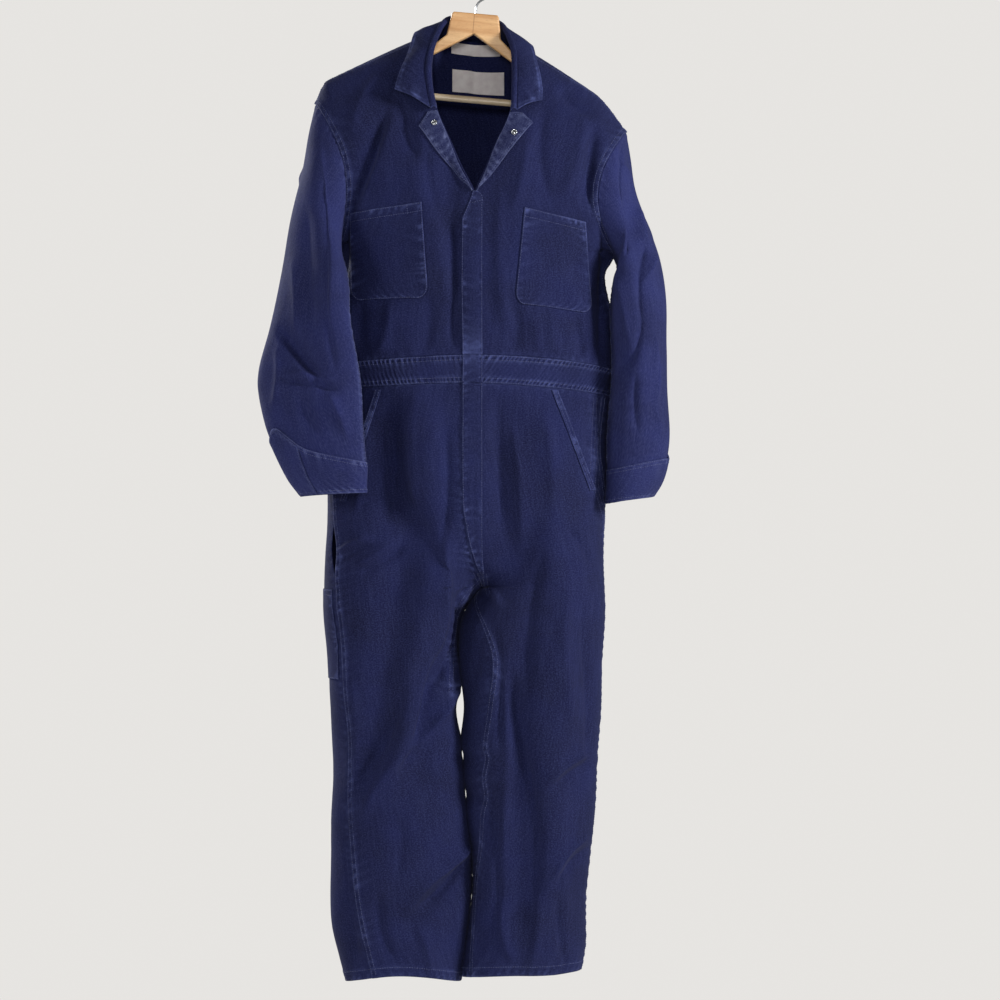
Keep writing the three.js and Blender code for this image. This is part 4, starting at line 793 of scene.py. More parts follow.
def sway(points):
    """Sine waves of the place in space, each with its own direction, bend whatever lies there by
    the same small step. It dies away over the hanger, which holds the shoulders."""
    rng = np.random.default_rng(SWAY_SEED)
    shift = np.zeros_like(points)
    for _ in range(SWAY_WAVES):
        wave = unit(rng.normal(size=3)) * 2 * math.pi / rng.uniform(*SWAY_LENGTHS)
        step = rng.normal(size=3) * SWAY_STEP
        shift += step * np.sin(points @ wave + rng.uniform(0, 2 * math.pi))[..., None]
    return points + shift * ease(HELD, FREE, -points[..., 2:])


print("sway at the hem:", sway(np.array([[0.0, -60.0, -1600.0]])))

# %% [markdown]
# ## Panels as grids
# A panel is sampled on a grid of shares, moved out by its folds, and then by its seams. On real
# workwear the seams are lapped: the edge of one panel lies on the other, doubled over and held by two
# rows of stitches, and the thread pulls short ripples into it, which fade first in the wash. So each
# edge has a raised lap, ripples along it and a wear value, which the material reads as paler cloth.


# %% Lengths and directions on a grid
def lengths(points, axis):
    """Running length of the grid lines along one axis, in millimetres."""
    step = np.linalg.norm(np.diff(points, axis=axis), axis=-1)
    return np.cumsum(np.pad(step, [(1, 0), (0, 0)] if axis == 0 else [(0, 0), (1, 0)]), axis=axis)


def grid_normals(points, turn):
    """Cross product of the two grid directions, turned to face outwards."""
    return unit(turn * np.cross(np.gradient(points, axis=0), np.gradient(points, axis=1)))


def edge_fields(points):
    """For each edge, the distance of every point from it and how far along it the point lies."""
    across, down = lengths(points, 0), lengths(points, 1)
    return {
        "u0": (across, down),
        "u1": (across[-1:] - across, down),
        "v0": (down, across),
        "v1": (down[:, -1:] - down, across),
    }


# %% Seams
LAP = 9.5
RIPPLE_PITCH = 15
RIPPLE_AT, RIPPLE_WIDTH = 4.8, 3.2  # the middle of a ripple and half its width, from the edge
TAIL, TAIL_REACH = 0.3, 9  # its long low tail
RIM_WEAR, FOLD_WEAR, CREST_WEAR = 1.3, 0.45, 0.9  # width of the worn rim, and shares of wear beside it
# Seams that follow no edge of the grid: the ripple's height, the wear, and corners as x and drop.
LINES = {
    "left_front_leg": [
        (0.8, 0.6, [(204.5, 699), (194, 845)]),
        (0.6, 0.4, [(192, 699), (186, 820)]),
        (0.6, 0.6, [(193, 848), (210, 900)]),
        (0.7, 0.7, [(11, 985), (14, 1006), (18, 1020)]),
    ],
    "right_front_leg": [
        (0.9, 0.6, [(6, 996), (-12, 1013), (-25, 1032), (-36, 1058), (-41, 1096), (-44, 1180)]),
    ],
}


def line_fields(points, corners):
    """Distance of every point from a chain of straight lines, seen from in front, and how far along
    the chain it lies."""
    x, drop = points[..., 0], -points[..., 2]
    near, run = np.full(x.shape, 1e3), np.zeros(x.shape)
    start = 0.0
    for (x1, d1), (x2, d2) in zip(corners, corners[1:]):
        length = math.hypot(x2 - x1, d2 - d1)
        along = clamp01(((x - x1) * (x2 - x1) + (drop - d1) * (d2 - d1)) / length**2)
        gap = np.hypot(x - mix(x1, x2, along), drop - mix(d1, d2, along))
        run = np.where(gap < near, start + along * length, run)
        near = np.minimum(near, gap)
        start += length
    return near, run


def seam_relief(points, seams, seed, pitch=RIPPLE_PITCH, lines=()):
    """Height and wear from the seams, each given as (lap height, lap width, ripple, wear). A ripple
    is a sine along the seam times a lobe: a bell curve some way inside it, and a long low tail."""
    fields = edge_fields(points)
    seams = dict(seams)
    for ripple, fade, corners in lines:
        key = f"line{len(seams)}"
        fields[key], seams[key] = line_fields(points, corners), (0, LAP, ripple, fade)
    height = np.zeros(points.shape[:2])
    wear = np.zeros(points.shape[:2])
    for number, (edge, (lap, width, ripple, fade)) in enumerate(seams.items()):
        near, run = fields[edge]
        phase = run / pitch + 0.9 * hills(run / 31, near * 0 + number, seed)
        wave = np.sin(2 * math.pi * phase + 0.12 * near) * (0.8 + 0.35 * hills(run / 47, near * 0, seed + 7))
        lobe = np.exp(-(((near - RIPPLE_AT) / RIPPLE_WIDTH) ** 2))
        lobe = lobe + TAIL * near / TAIL_REACH * np.exp(1 - near / TAIL_REACH)
        height += lap * (1 - ease(width - 1, width + 1.4, near)) + ripple * lobe * wave
        rim = np.exp(-near / RIM_WEAR)
        if lap:
            rim = rim + FOLD_WEAR * np.exp(-(((near - width) / 1.6) ** 2))
        uneven = 0.7 + 0.6 * hills(run / 23, near * 0 + 3, seed + 5)
        wear = np.maximum(wear, fade * uneven * (rim + CREST_WEAR * lobe * clamp01(wave)))
    return height, clamp01(wear)


# %% A grid with everything that later steps need
def finish_grid(name, us, vs, points, turn, wear):
    """Points, normals, weave, cut size and area. Area is the sum of half cross products."""
    across, down = lengths(points, 0), lengths(points, 1)
    quads = np.cross(points[1:, 1:] - points[:-1, :-1], points[1:, :-1] - points[:-1, 1:])
    area = float(np.linalg.norm(quads, axis=-1).sum() / 2) * MM * MM
    flat = (float(across[-1].max()) * MM, float(down[:, -1].max()) * MM)
    return {
        "name": name,
        "us": us,
        "vs": vs,
        "points": points,
        "normals": grid_normals(points, turn),
        "turn": turn,
        "wear": wear,
        "weave": np.stack([across, down], -1) * MM,
        "flat": flat,
        "area": min(area, flat[0] * flat[1]),
    }


PANELS = {}
SEAM_CALM = 20  # within this distance of a sewn edge the creases die away


def sew(name, kind, bare, us, vs, turn, fade, seams, free=(), hold=None, pitch=RIPPLE_PITCH):
    """Adds one panel: its bare surface, broad folds, creases and rumples that stay clear of sewn
    edges, seams, and the sway of the whole garment."""
    seed = 100 + 10 * len(PANELS)
    u, v = np.meshgrid(us, vs, indexing="ij")
    points = bare(u, v)
    broad = fold_height(FOLDS.get(name, ()), points[..., 0], -points[..., 2], False)
    points = points + grid_normals(points, turn) * (FOLD_DEPTH * broad * fade(u, v))[..., None]
    x, y, drop = points[..., 0], points[..., 1], -points[..., 2]
    height = CREASE_DEPTH * fold_height(CREASES.get(name, ()), x, drop, True)
    height = height + rumple(kind, seed, x, y, drop)
    for edge, (near, _) in edge_fields(points).items():
        if edge not in free:
            height = height * ease(0, SEAM_CALM, near)
    if hold is not None:
        height = height * hold(v)
    lift, wear = seam_relief(points, seams, seed, pitch, LINES.get(name, ()))
    points = points + grid_normals(points, turn) * (height + lift)[..., None]
    PANELS[name] = finish_grid(name, us, vs, sway(points), turn, wear)


# %% Samples across and along, closer together beside the seams
def samples(count, rim=0.006):
    """Even shares with one more close to each end, so that a lap's edge is crisp."""
    return np.concatenate([[0, rim], np.linspace(0, 1, count + 1)[1:-1], [1 - rim, 1]])


def inside(t):
    """0 at both ends and 1 in the middle, rising steeply: the root of a half sine."""
    return np.sqrt(np.sin(math.pi * clamp01(t)))


arm_rows = np.linspace(0, 1, ARMHOLE_ROWS + 1)
bodice_rows = np.concatenate([np.linspace(0, UNDERARM, LOW_ROWS + 1), mix(UNDERARM, 1, arm_rows[1:])])
half_back = np.concatenate(
    [samples(COLUMNS)[:-2] * NECK_SHARE, np.linspace(NECK_SHARE, 1, BACK_NECK_COLUMNS + 1)]
)
back_columns = np.concatenate([half_back / 2, 1 - half_back[:-1][::-1] / 2])
seat_steps = np.linspace(0, 1, SEAT_ROWS + 1)
seat_rows = SEAT_SHARE * mix(seat_steps, np.sin(seat_steps * math.pi / 2), 0.6)
leg_rows = np.concatenate([seat_rows, SEAT_SHARE + (1 - SEAT_SHARE) * np.linspace(0, 1, LEG_ROWS + 1)[1:]])
band_rows = samples(BAND_ROWS, 0.03)


def fade_bodice(u, v):
    """Share of a fold's height that is left: none at the edges of the panel."""
    return inside(u) * inside(v)


def fade_leg(u, v):
    return inside(u) * ease(0, 0.06, v)


def fade_sleeve(u, v):
    return inside(u) * ease(0, 0.1, v * SLEEVE_END) * (1 - ease(0.62, 0.74, v * SLEEVE_END))


def above_cuff(v):
    """Creases die away where the cuff takes over from the sleeve."""
    return 1 - ease(0.66, 0.76, v * SLEEVE_END)


print("rows:", len(bodice_rows), "bodice,", len(leg_rows), "leg; columns of the back:", len(back_columns))

# %% Sewing the panels
OVER = (1.0, LAP, 0.95, 0.6)  # an edge that laps over its neighbour
UNDER = (0, LAP, 0.8, 0.25)  # an edge that goes under
BAND = (0.9, LAP, 1.3, 0.95)  # an edge of the waistband
BAND_PITCH = 7.5
HEM = (0.9, 16, 0.8, 0.7)
PLAIN = (0, LAP, 0, 0)


def half_surface(point, side, face):
    """A surface of two shares from a function that also asks for the side and the face."""
    return lambda t, v: point(side, face, t, v)


def sleeve_surface(side, face):
    return lambda t, v: sleeve_point(side, v * SLEEVE_END, face * 180 * t)


for side in SIDES:
    name, sign = side["name"], side["sign"]
    sew(
        f"{name}_front",
        "front",
        half_surface(bodice_point, side, 1),
        samples(COLUMNS),
        bodice_rows,
        -sign,
        fade_bodice,
        {"u0": OVER, "v1": OVER, "v0": UNDER, "u1": PLAIN},
    )
    sew(
        f"{name}_waistband",
        "waistband",
        half_surface(waist_point, side, 1),
        samples(BAND_COLUMNS),
        band_rows,
        sign,
        fade_leg,
        {"v0": BAND, "v1": BAND, "u0": PLAIN},
        free=("v0", "v1"),
        pitch=BAND_PITCH,
    )
    for face, word in ((1, "front"), (-1, "back")):
        edge = OVER if face > 0 else UNDER
        sew(
            f"{name}_{word}_leg",
            "leg",
            half_surface(trouser_point, side, face),
            samples(COLUMNS - 6),
            leg_rows,
            sign * face,
            fade_leg,
            {"u0": edge, "u1": edge, "v0": UNDER, "v1": HEM},
            free=("v1",),
        )
        sew(
            f"{name}_sleeve_{word}",
            "sleeve",
            sleeve_surface(side, face),
            arm_rows,
            np.linspace(0, 1, SLEEVE_ROWS + 1),
            sign * face,
            fade_sleeve,
            {"u0": PLAIN, "u1": edge, "v0": UNDER},
            hold=above_cuff,
        )
sew(
    "back",
    "back",
    whole_back(bodice_point),
    back_columns,
    bodice_rows,
    -1,
    fade_bodice,
    {"u0": UNDER, "u1": UNDER, "v0": UNDER, "v1": PLAIN},
)
sew(
    "back_waistband",
    "waistband",
    whole_back(waist_point),
    samples(2 * BAND_COLUMNS, 0.003),
    band_rows,
    1,
    fade_leg,
    {"v0": BAND, "v1": BAND},
    free=("v0", "v1"),
    pitch=BAND_PITCH,
)
print("panels:", len(PANELS), "with", sum(p["wear"].size for p in PANELS.values()), "points")

# %% [markdown]
# ## Places on a panel
# Pockets, plackets and stitches are laid on the finished grid, so that they follow every fold under
# them. A place is a pair of shares (u, v); a point seen from in front is turned into one by halving the
# range of u and of v in turn until both x and drop agree.


# %% Reading a grid between its points
def on_grid(grid, u, v):
    """Point and direction at any shares, from the four corners of the cell, by their weights."""
    u, v = np.broadcast_arrays(np.asarray(u, float), np.asarray(v, float))
    us, vs = grid["us"], grid["vs"]
    i = np.clip(np.searchsorted(us, u, side="right") - 1, 0, len(us) - 2)
    j = np.clip(np.searchsorted(vs, v, side="right") - 1, 0, len(vs) - 2)
    a = clamp01((u - us[i]) / (us[i + 1] - us[i]))[..., None]
    b = clamp01((v - vs[j]) / (vs[j + 1] - vs[j]))[..., None]

    def blend(values):
        low = mix(values[i, j], values[i + 1, j], a)
        return mix(low, mix(values[i, j + 1], values[i + 1, j + 1], a), b)

    return blend(grid["points"]), unit(blend(grid["normals"]))


def halve(value_at, goal):
    """The share at which a rising or falling function reaches its goal, by twenty halvings."""
    low, high = np.zeros_like(goal), np.ones_like(goal)
    rising = value_at(high) > value_at(low)
    for _ in range(20):
        middle = (low + high) / 2
        short = (value_at(middle) < goal) == rising
        low, high = np.where(short, middle, low), np.where(short, high, middle)
    return (low + high) / 2


def column_at(grid, x, v):
    """The share u at which a row of the grid has a given x."""
    x, v = np.broadcast_arrays(np.asarray(x, float), np.asarray(v, float))
    return halve(lambda u: on_grid(grid, u, v)[0][..., 0], x)


def row_at(grid, drop, u):
    """The share v at which a column of the grid has a given drop."""
    drop, u = np.broadcast_arrays(np.asarray(drop, float), np.asarray(u, float))
    return halve(lambda v: -on_grid(grid, u, v)[0][..., 2], drop)


def locate(grid, x, drop):
    """Shares (u, v) of points given as seen from in front."""
    x, drop = np.broadcast_arrays(np.asarray(x, float), np.asarray(drop, float))
    v = np.full(x.shape, 0.5)
    for _ in range(6):
        u = column_at(grid, x, v)
        v = row_at(grid, drop, u)
    return u, v


print("middle of the right chest lies at", locate(PANELS["right_front"], -140.0, 460.0))

# %% [markdown]
# ## Sewn-on pieces
# A patch takes the points under it and stands off by the air and its own thickness. Its edges get
# ripples and wear as a seam does, and it may be puffed a little in the middle, as a pocket is.


# %% Laying a patch
PATCH_EDGES = {edge: (0, LAP, 0.35, 0.85) for edge in ("u0", "u1", "v0", "v1")}
PATCHES = {}


def lay(name, points, normals, ss, ws, turn, cloth=CLOTH, lift=LIFT, puff=0.0, seams=None):
    """Adds a patch above given points, with a puff that is a sine hill over its whole area."""
    s, w = np.meshgrid(ss, ws, indexing="ij")
    hill = puff * np.sin(math.pi * s) * np.sin(math.pi * clamp01(w))
    points = points + normals * (lift + cloth + hill)[..., None]
    height, wear = seam_relief(points, PATCH_EDGES if seams is None else seams, 500 + 10 * len(PATCHES))
    points = points + normals * height[..., None]
    PATCHES[name] = finish_grid(name, ss, ws, points, turn, wear)


def within_corners(top, low, s, w):
    """Places inside four corners, each x and drop: s between the two of each end, w from one end
    to the other."""
    x = mix(mix(top[0][0], top[1][0], s), mix(low[0][0], low[1][0], s), w)
    drop = mix(mix(top[0][1], top[1][1], s), mix(low[0][1], low[1][1], s), w)
    return x, drop


# %% Chest pockets with rounded lower corners
RIGHT["chest_pocket"] = ((-207, 399), (-90, 386), (-206, 541), (-79, 539))
LEFT["chest_pocket"] = ((175, 415), (76, 394), (186, 562), (60, 548))
POCKET_CORNER = 0.13  # of the pocket's height

for side in SIDES:
    panel = PANELS[f"{side['name']}_front"]
    corners = side["chest_pocket"]
    ss = samples(36, 0.01)
    round_rows = POCKET_CORNER * (1 - np.sin(np.linspace(0, math.pi / 2, 13)[1:]))
    ws = np.concatenate([np.linspace(0, 1 - POCKET_CORNER, 36), 1 - round_rows])
    s, w = np.meshgrid(ss, ws, indexing="ij")
    turned = np.maximum(0, w - 1 + POCKET_CORNER) / POCKET_CORNER
    inset = POCKET_CORNER * (1 - np.sqrt(1 - turned * turned))
    spots = within_corners(corners[:2], corners[2:], mix(inset, 1 - inset, s), w)
    # The pocket hangs down a panel whose rows run up, from the outer side to the middle.
    points, normals = on_grid(panel, *locate(panel, *spots))
    lay(f"{side['name']}_chest_pocket", points, normals, ss, ws, side["sign"], puff=1.6)
print("patches:", list(PATCHES))

# %% Hip pockets: the faced edge of a slanting opening
RIGHT["hip_pocket"] = ((-166, 687), (-224, 868))
LEFT["hip_pocket"] = ((130, 688), (192, 850))
HIP_FACING = 10
for side in SIDES:
    panel = PANELS[f"{side['name']}_front_leg"]
    inward = -side["sign"] * HIP_FACING
    ends = [[(x, drop), (x + inward, drop)] for x, drop in side["hip_pocket"]]
    ss, ws = samples(4, 0.06), samples(48, 0.006)
    spots = within_corners(*ends, *np.meshgrid(ss, ws, indexing="ij"))
    points, normals = on_grid(panel, *locate(panel, *spots))
    lay(f"{side['name']}_hip_pocket", points, normals, ss, ws, side["sign"])

# %% Lapels: the fronts folded back from the foot of the opening to the notch
LAPEL_INSET = 0.012
for side in SIDES:
    panel = PANELS[f"{side['name']}_front"]
    ss, ws = samples(20, 0.02), samples(56, 0.006)
    s, w = np.meshgrid(ss, ws, indexing="ij")
    fold_u = 1 - LAPEL_INSET
    fold_v = row_at(panel, column(side["lapel"], "w", ws, "fold_drop"), 1.0)
    rim_u, rim_v = locate(panel, *(column(side["lapel"], "w", ws, k) for k in ("edge_x", "edge_drop")))
    u, v = mix(fold_u, rim_u[None], s), mix(fold_v[None], rim_v[None], s)
    lay(f"{side['name']}_lapel", *on_grid(panel, u, v), ss, ws, side["sign"], cloth=DOUBLED, puff=2.2)

# %% Placket over the centre front: one strip in three stretches
PLACKET_TOP, PLACKET_FOOT = 367, 985
FLUSH = LIFT + CLOTH - 0.3  # how far the sewn-down edge sinks back to the cloth
SCUFF_DROP, SCUFF_REACH, SCUFF_WEAR = 622, 24, 0.45  # where a belt has rubbed the dye away
# Its two edges by drop: slanting in to the foot of the opening above, and curving in below.
PLACKET_EDGES = table("drop outer inner", [
    (366, -7, -1),
    (374, -9, 8),
    (392, -16, 8),
    (415, -24, 8),
    (660, -24, 8),
    (860, -24, 8),
    (900, -20, 8),
    (935, -13, 8),
    (965, -4, 9),
    (985, 4, 11),
])


def lay_placket(name, right, left, start, stop, count):
    """A strip by x and row: each point is taken from the panel on its own side of the centre."""
    right, left = PANELS[right], PANELS[left]
    ss, ws = samples(12, 0.03), np.linspace(0, 1, count + 1)
    s, v = np.meshgrid(ss, mix(start, stop, ws), indexing="ij")
    seam = on_grid(right, 1.0, v)[0]
    centre, drop = seam[..., 0], -seam[..., 2]
    outer, inner = (column(PLACKET_EDGES, "drop", drop, edge) for edge in ("outer", "inner"))
    x = mix(outer, inner, s)
    points, normals = [
        np.where((x < centre)[..., None], a, b)
        for a, b in zip(
            on_grid(right, column_at(right, x, v), v),
            on_grid(left, column_at(left, x, v), v),
        )
    ]
    turn = 1 if points[0, -1, 2] > points[0, 0, 2] else -1
    points = points - normals * (FLUSH * ease(0.7, 1, s))[..., None]
    seams = {"u0": (0, LAP, 0.5, 0.8), "u1": (0, LAP, 0.9, 0.2)}
    lay(name, points, normals, ss, ws, turn, seams=seams)
    scuff = SCUFF_WEAR * np.exp(-(((drop - SCUFF_DROP) / SCUFF_REACH) ** 2))
    PATCHES[name]["wear"] = clamp01(PATCHES[name]["wear"] + scuff)


neck_foot = float(row_at(PANELS["left_front"], float(PLACKET_TOP), 1.0))
fly_foot = float(row_at(PANELS["left_front_leg"], float(PLACKET_FOOT), 1.0))
lay_placket("placket_bodice", "right_front", "left_front", 0.0, neck_foot, 76)
lay_placket("placket_waist", "right_waistband", "left_waistband", 0.0, 1.0, 14)
lay_placket("placket_fly", "right_front_leg", "left_front_leg", 0.0, fly_foot, 70)

# %% Rule pocket behind the right outside seam
RULE_TOP, RULE_BOTTOM, RULE_FROM, RULE_TO = 1013, 1158, 0.025, 0.4


def leg_row(drop):
    """Share v of a leg panel at a drop below the crotch."""
    return mix(SEAT_SHARE, 1, (drop - CROTCH) / (HEM_DROP - CROTCH))


panel = PANELS["right_back_leg"]
ss, ws = samples(26, 0.01), samples(38, 0.01)
rows = mix(leg_row(RULE_TOP), leg_row(RULE_BOTTOM), ws)
u, v = np.meshgrid(mix(RULE_FROM, RULE_TO, ss), rows, indexing="ij")
lay("rule_pocket", *on_grid(panel, u, v), ss, ws, panel["turn"], puff=1.2)

# %% Blank labels inside the back of the neck
LABEL_CLOTH = 0.6
LABELS = {"label_size": (-4, 113, 84, 18, 0.07), "label_care": (0, 165, 88, 36, 0.08)}
for name, (x, drop, width, height, slope) in LABELS.items():
    ss, ws = samples(24, 0.01), samples(12, 0.03)
    s, w = np.meshgrid(ss - 0.5, ws - 0.5, indexing="ij")
    spots = locate(PANELS["back"], x + s * width, drop + w * height + s * width * slope)
    points, normals = on_grid(PANELS["back"], *spots)
    lay(name, points - normals * CLOTH, -normals, ss, ws, -1, cloth=LABEL_CLOTH, puff=0.8, seams={})

# %% Cuffs and the laps over their openings
CUFF_SLIT = 0.8
TAB_REACH = 27
TAB_MARGIN = 0.03


def cuff_top(side, angle):
    """The cuff's upper edge rises towards its opening by a bell curve of the angle."""
    cuff = side["cuff"]
    away = (angle - cuff["open"] + 180) % 360 - 180
    return cuff["start"] - cuff["rise"] * np.exp(-((away / cuff["width"]) ** 2))


def lay_round(name, side, angles, ws, lift, cloth, margin=0.0):
    """A patch round the sleeve, from the cuff's top edge to its end."""
    angle, w = np.meshgrid(angles, mix(margin, 1 - margin, ws), indexing="ij")
    points = sleeve_point(side, mix(cuff_top(side, angle), 1, w), angle)
    normals = grid_normals(points, side["sign"])
    dents = rumple("sleeve", 700 + len(PATCHES), points[..., 0], points[..., 1], -points[..., 2])
    points = sway(points + normals * (0.6 * dents)[..., None])
    ss = np.linspace(0, 1, len(angles))
    lay(name, points, normals, ss, ws, side["sign"], cloth=cloth, lift=lift)


for side in SIDES:
    start = side["cuff"]["open"]
    ws = samples(26, 0.015)
    ring = np.linspace(start + CUFF_SLIT, start + 360 - CUFF_SLIT, 150)
    lay_round(f"{side['name']}_cuff", side, ring, ws, 0.6, DOUBLED)
    tab = np.linspace(start - TAB_REACH, start + TAB_REACH, 24)
    lay_round(f"{side['name']}_cuff_tab", side, tab, ws, 0.6 + DOUBLED + LIFT, CLOTH, TAB_MARGIN)
print("patches:", len(PATCHES))

# %% [markdown]
# ## The collar
# A collar is a stand that rises from the neckline, a roll where the cloth turns over, and a leaf that
# falls outside. Its section is three curves in a row, carried round the neck; the tables give where the
# roll and the leaf's edge run.

# %% Collar surface
COLLAR_FRONT_V = 0.875
ROLL_RADIUS = 4
LEAF_BULGE = 4
COLLAR_LEAN_Y = -50
COLLAR_FOOT = 4.2


def neckline(along):
    """Right fold of the neck, right and left back, left fold, each one unit of along."""
    stretches = [
        front_edge(RIGHT, mix(COLLAR_FRONT_V, 1, clamp01(along))),
        back_top(RIGHT, mix(NECK_SHARE, 1, clamp01(along - 1))),
        back_top(LEFT, mix(1, NECK_SHARE, clamp01(along - 2))),
        front_edge(LEFT, mix(1, COLLAR_FRONT_V, clamp01(along - 3))),
    ]
    part = np.clip(along.astype(int), 0, 3)
    return np.choose(part[..., None], stretches)


def collar_point(along, w):
    """Stand for w below 1, a half circle to 2, and the leaf, a line with a sine of bulge, to 3."""
    roll = place(*(column(COLLAR, "along", along, k) for k in ("roll_x", "roll_y", "roll_drop")))
    rim = place(*(column(COLLAR, "along", along, k) for k in ("edge_x", "edge_y", "edge_drop")))
    seam = neckline(along)
    out = unit((rim - seam) * (1, 1, 0))
    forward = ease(COLLAR_LEAN_Y + 12, COLLAR_LEAN_Y - 12, roll[..., 1])
    up = unit(np.stack([0 * forward, -forward, np.ones_like(forward)], -1))
    stand_top, leaf_top = roll - out * ROLL_RADIUS, roll + out * ROLL_RADIUS
    foot = seam + unit(stand_top - seam) * COLLAR_FOOT
    turn = (clamp01(w - 1) * math.pi)[..., None]
    stand = mix(foot, stand_top, clamp01(w)[..., None])
    bend = roll - out * ROLL_RADIUS * np.cos(turn) + up * ROLL_RADIUS * np.sin(turn)
    fall = clamp01(w - 2)[..., None]
    leaf = mix(leaf_top, rim, fall) + up * LEAF_BULGE * np.sin(math.pi * fall)
    return np.where((w <= 1)[..., None], stand, np.where((w <= 2)[..., None], bend, leaf))


alongs = np.concatenate([[0, 0.012], np.linspace(0, 4, 181)[1:-1], [3.988, 4]])
sections = np.concatenate([np.linspace(0, 1, 9), np.linspace(1, 2, 13)[1:], 2 + samples(16, 0.02)[1:]])
along, w = np.meshgrid(alongs, sections, indexing="ij")
points = collar_point(along, w)
normals = grid_normals(points, 1)
wavy = rumple("front", 900, 3 * points[..., 0], points[..., 1], 2 * points[..., 2])
points = points + normals * (0.35 * wavy * ease(1.2, 2.4, w))[..., None]
turned_under = {"v1": (0.3, 6, 0.2, 0.8), "u0": (0.3, 6, 0.15, 0.8), "u1": (0.3, 6, 0.15, 0.8)}
height, wear = seam_relief(points, turned_under, 910)
points = sway(points + normals * height[..., None])
COLLAR_GRID = finish_grid("collar", alongs / 4, sections / 3, points, 1, wear)
print("collar cut about", [round(c, 3) for c in COLLAR_GRID["flat"]], "m")

# %% [markdown]
# ## Materials
# Boiler suits are cut from cotton twill of about 250 g/m2, dyed navy after weaving. Its look comes from
# three things: a matt, slightly hairy surface, which gives a soft sheen at grazing angles; diagonal
# wales; and dye that washes out first where the cloth stands proud, along laps, edges and ripples.
# Patterns are worked out in the cloth's own metres, kept in a UV map named weave, so that they follow
# the cloth through its folds.


# %% Colour and node helpers
def linear(code):
    """An sRGB hex colour as linear red, green, blue and alpha."""
    parts = [((code >> shift) & 255) / 255 for shift in (16, 8, 0)]
    return (*(p / 12.92 if p <= 0.04045 else ((p + 0.055) / 1.055) ** 2.4 for p in parts), 1.0)


def node(tree, kind, inputs=None, **settings):
    """Adds a node, sets its own properties, and gives each named input a constant or a link."""
    made = tree.nodes.new("ShaderNode" + kind)
    for key, value in settings.items():
        setattr(made, key, value)
    for key, value in (inputs or {}).items():
        if isinstance(value, bpy.types.NodeSocket):
            tree.links.new(value, made.inputs[key])
        else:
            made.inputs[key].default_value = value
    return made


def blank_material(name):
    """A material without nodes, and its tree."""
    material = bpy.data.materials.new(name)
    material.use_nodes = True
    material.node_tree.nodes.clear()
    return material, material.node_tree


def blend_colours(tree, factor, first, second, how="MIX"):
    """Mix of two colours; a colour is a hex code or a socket."""
    made = node(tree, "Mix", {"Factor": factor}, data_type="RGBA", blend_type=how)
    for socket, value in ((made.inputs[6], first), (made.inputs[7], second)):
        if isinstance(value, int):
            socket.default_value = linear(value)
        else:
            tree.links.new(value, socket)
    return made.outputs[2]


def scaled(tree, value, low, high, start=0.0, stop=1.0):
    """Maps low..high of a socket to start..stop and clamps it."""
    return node(
        tree,
        "MapRange",
        {"Value": value, "From Min": low, "From Max": high, "To Min": start, "To Max": stop},
    ).outputs["Result"]


def noise(tree, at, scale, detail, **more):
    """Smooth random shades."""
    inputs = {"Vector": at, "Scale": scale, "Detail": detail, **more}
    return node(tree, "TexNoise", inputs).outputs["Fac"]


def mapped(tree, at, **change):
    """Coordinates turned or stretched."""
    return node(tree, "Mapping", {"Vector": at, **change}).outputs["Vector"]


def close_material(tree, **inputs):
    """Ends a material with one shader; an underscore in a name stands for a space."""
    inputs = {name.replace("_", " "): value for name, value in inputs.items()}
    shader = node(tree, "BsdfPrincipled", inputs)
    node(tree, "OutputMaterial", {"Surface": shader.outputs[0]})


# %% Cotton twill
WALE = 0.0016  # metres; a real wale is about 0.6 mm, which the render can't show
WALE_ANGLE = math.radians(63)
RIB = 0.0012
BANDS_PER_UNIT = 0.314  # a band texture of scale 1 repeats every 0.314 units


def twill(name, dark, light, faded, wear_share):
    """Cotton twill: mottled dye, threads, wales and worn places. Matt, with a faint sheen."""
    material, tree = blank_material(name)
    weave = node(tree, "UVMap", uv_map="weave").outputs["UV"]
    spot = node(tree, "TexCoord").outputs["Object"]
    worn = node(tree, "Attribute", attribute_name="wear").outputs["Fac"]

    cloud = noise(tree, spot, 9.0, 5.0, Roughness=0.6)
    streak = noise(tree, mapped(tree, weave, Scale=(260.0, 18.0, 1.0)), 1.0, 3.0)
    thread = noise(tree, mapped(tree, weave, Scale=(420.0, 520.0, 1.0)), 1.0, 2.0)
    patchy = noise(tree, spot, 150.0, 4.0)

    dye = blend_colours(tree, scaled(tree, cloud, 0.34, 0.68), dark, light)
    dye = blend_colours(tree, scaled(tree, streak, 0.45, 0.8, 0, 0.09), dye, faded)
    dye = blend_colours(tree, scaled(tree, thread, 0.44, 0.78, 0, 0.3), dye, faded)
    rubbed = scaled(tree, patchy, 0.36, 0.62, 0.4, wear_share)
    wearing = node(tree, "Math", {0: worn, 1: rubbed}, operation="MULTIPLY").outputs[0]
    dye = blend_colours(tree, wearing, dye, faded)

    turned = mapped(tree, weave, Rotation=(0, 0, WALE_ANGLE))
    bands = {"Vector": turned, "Scale": BANDS_PER_UNIT / WALE, "Distortion": 1.2}
    normal = {}
    for height, distance, strength in (
        (node(tree, "TexWave", bands).outputs["Fac"], 0.00012, 0.6),
        (thread, 0.0005, 0.7),
        (patchy, 0.0012, 0.5),
    ):
        inputs = {"Height": height, "Distance": distance, "Strength": strength, **normal}
        normal = {"Normal": node(tree, "Bump", inputs).outputs["Normal"]}
    close_material(
        tree,
        Base_Color=dye,
        Roughness=0.92,
        Specular_IOR_Level=0.25,
        Sheen_Weight=0.05,
        Sheen_Roughness=0.45,
        Sheen_Tint=linear(0x8A90B4),
        **normal,
    )
    return material


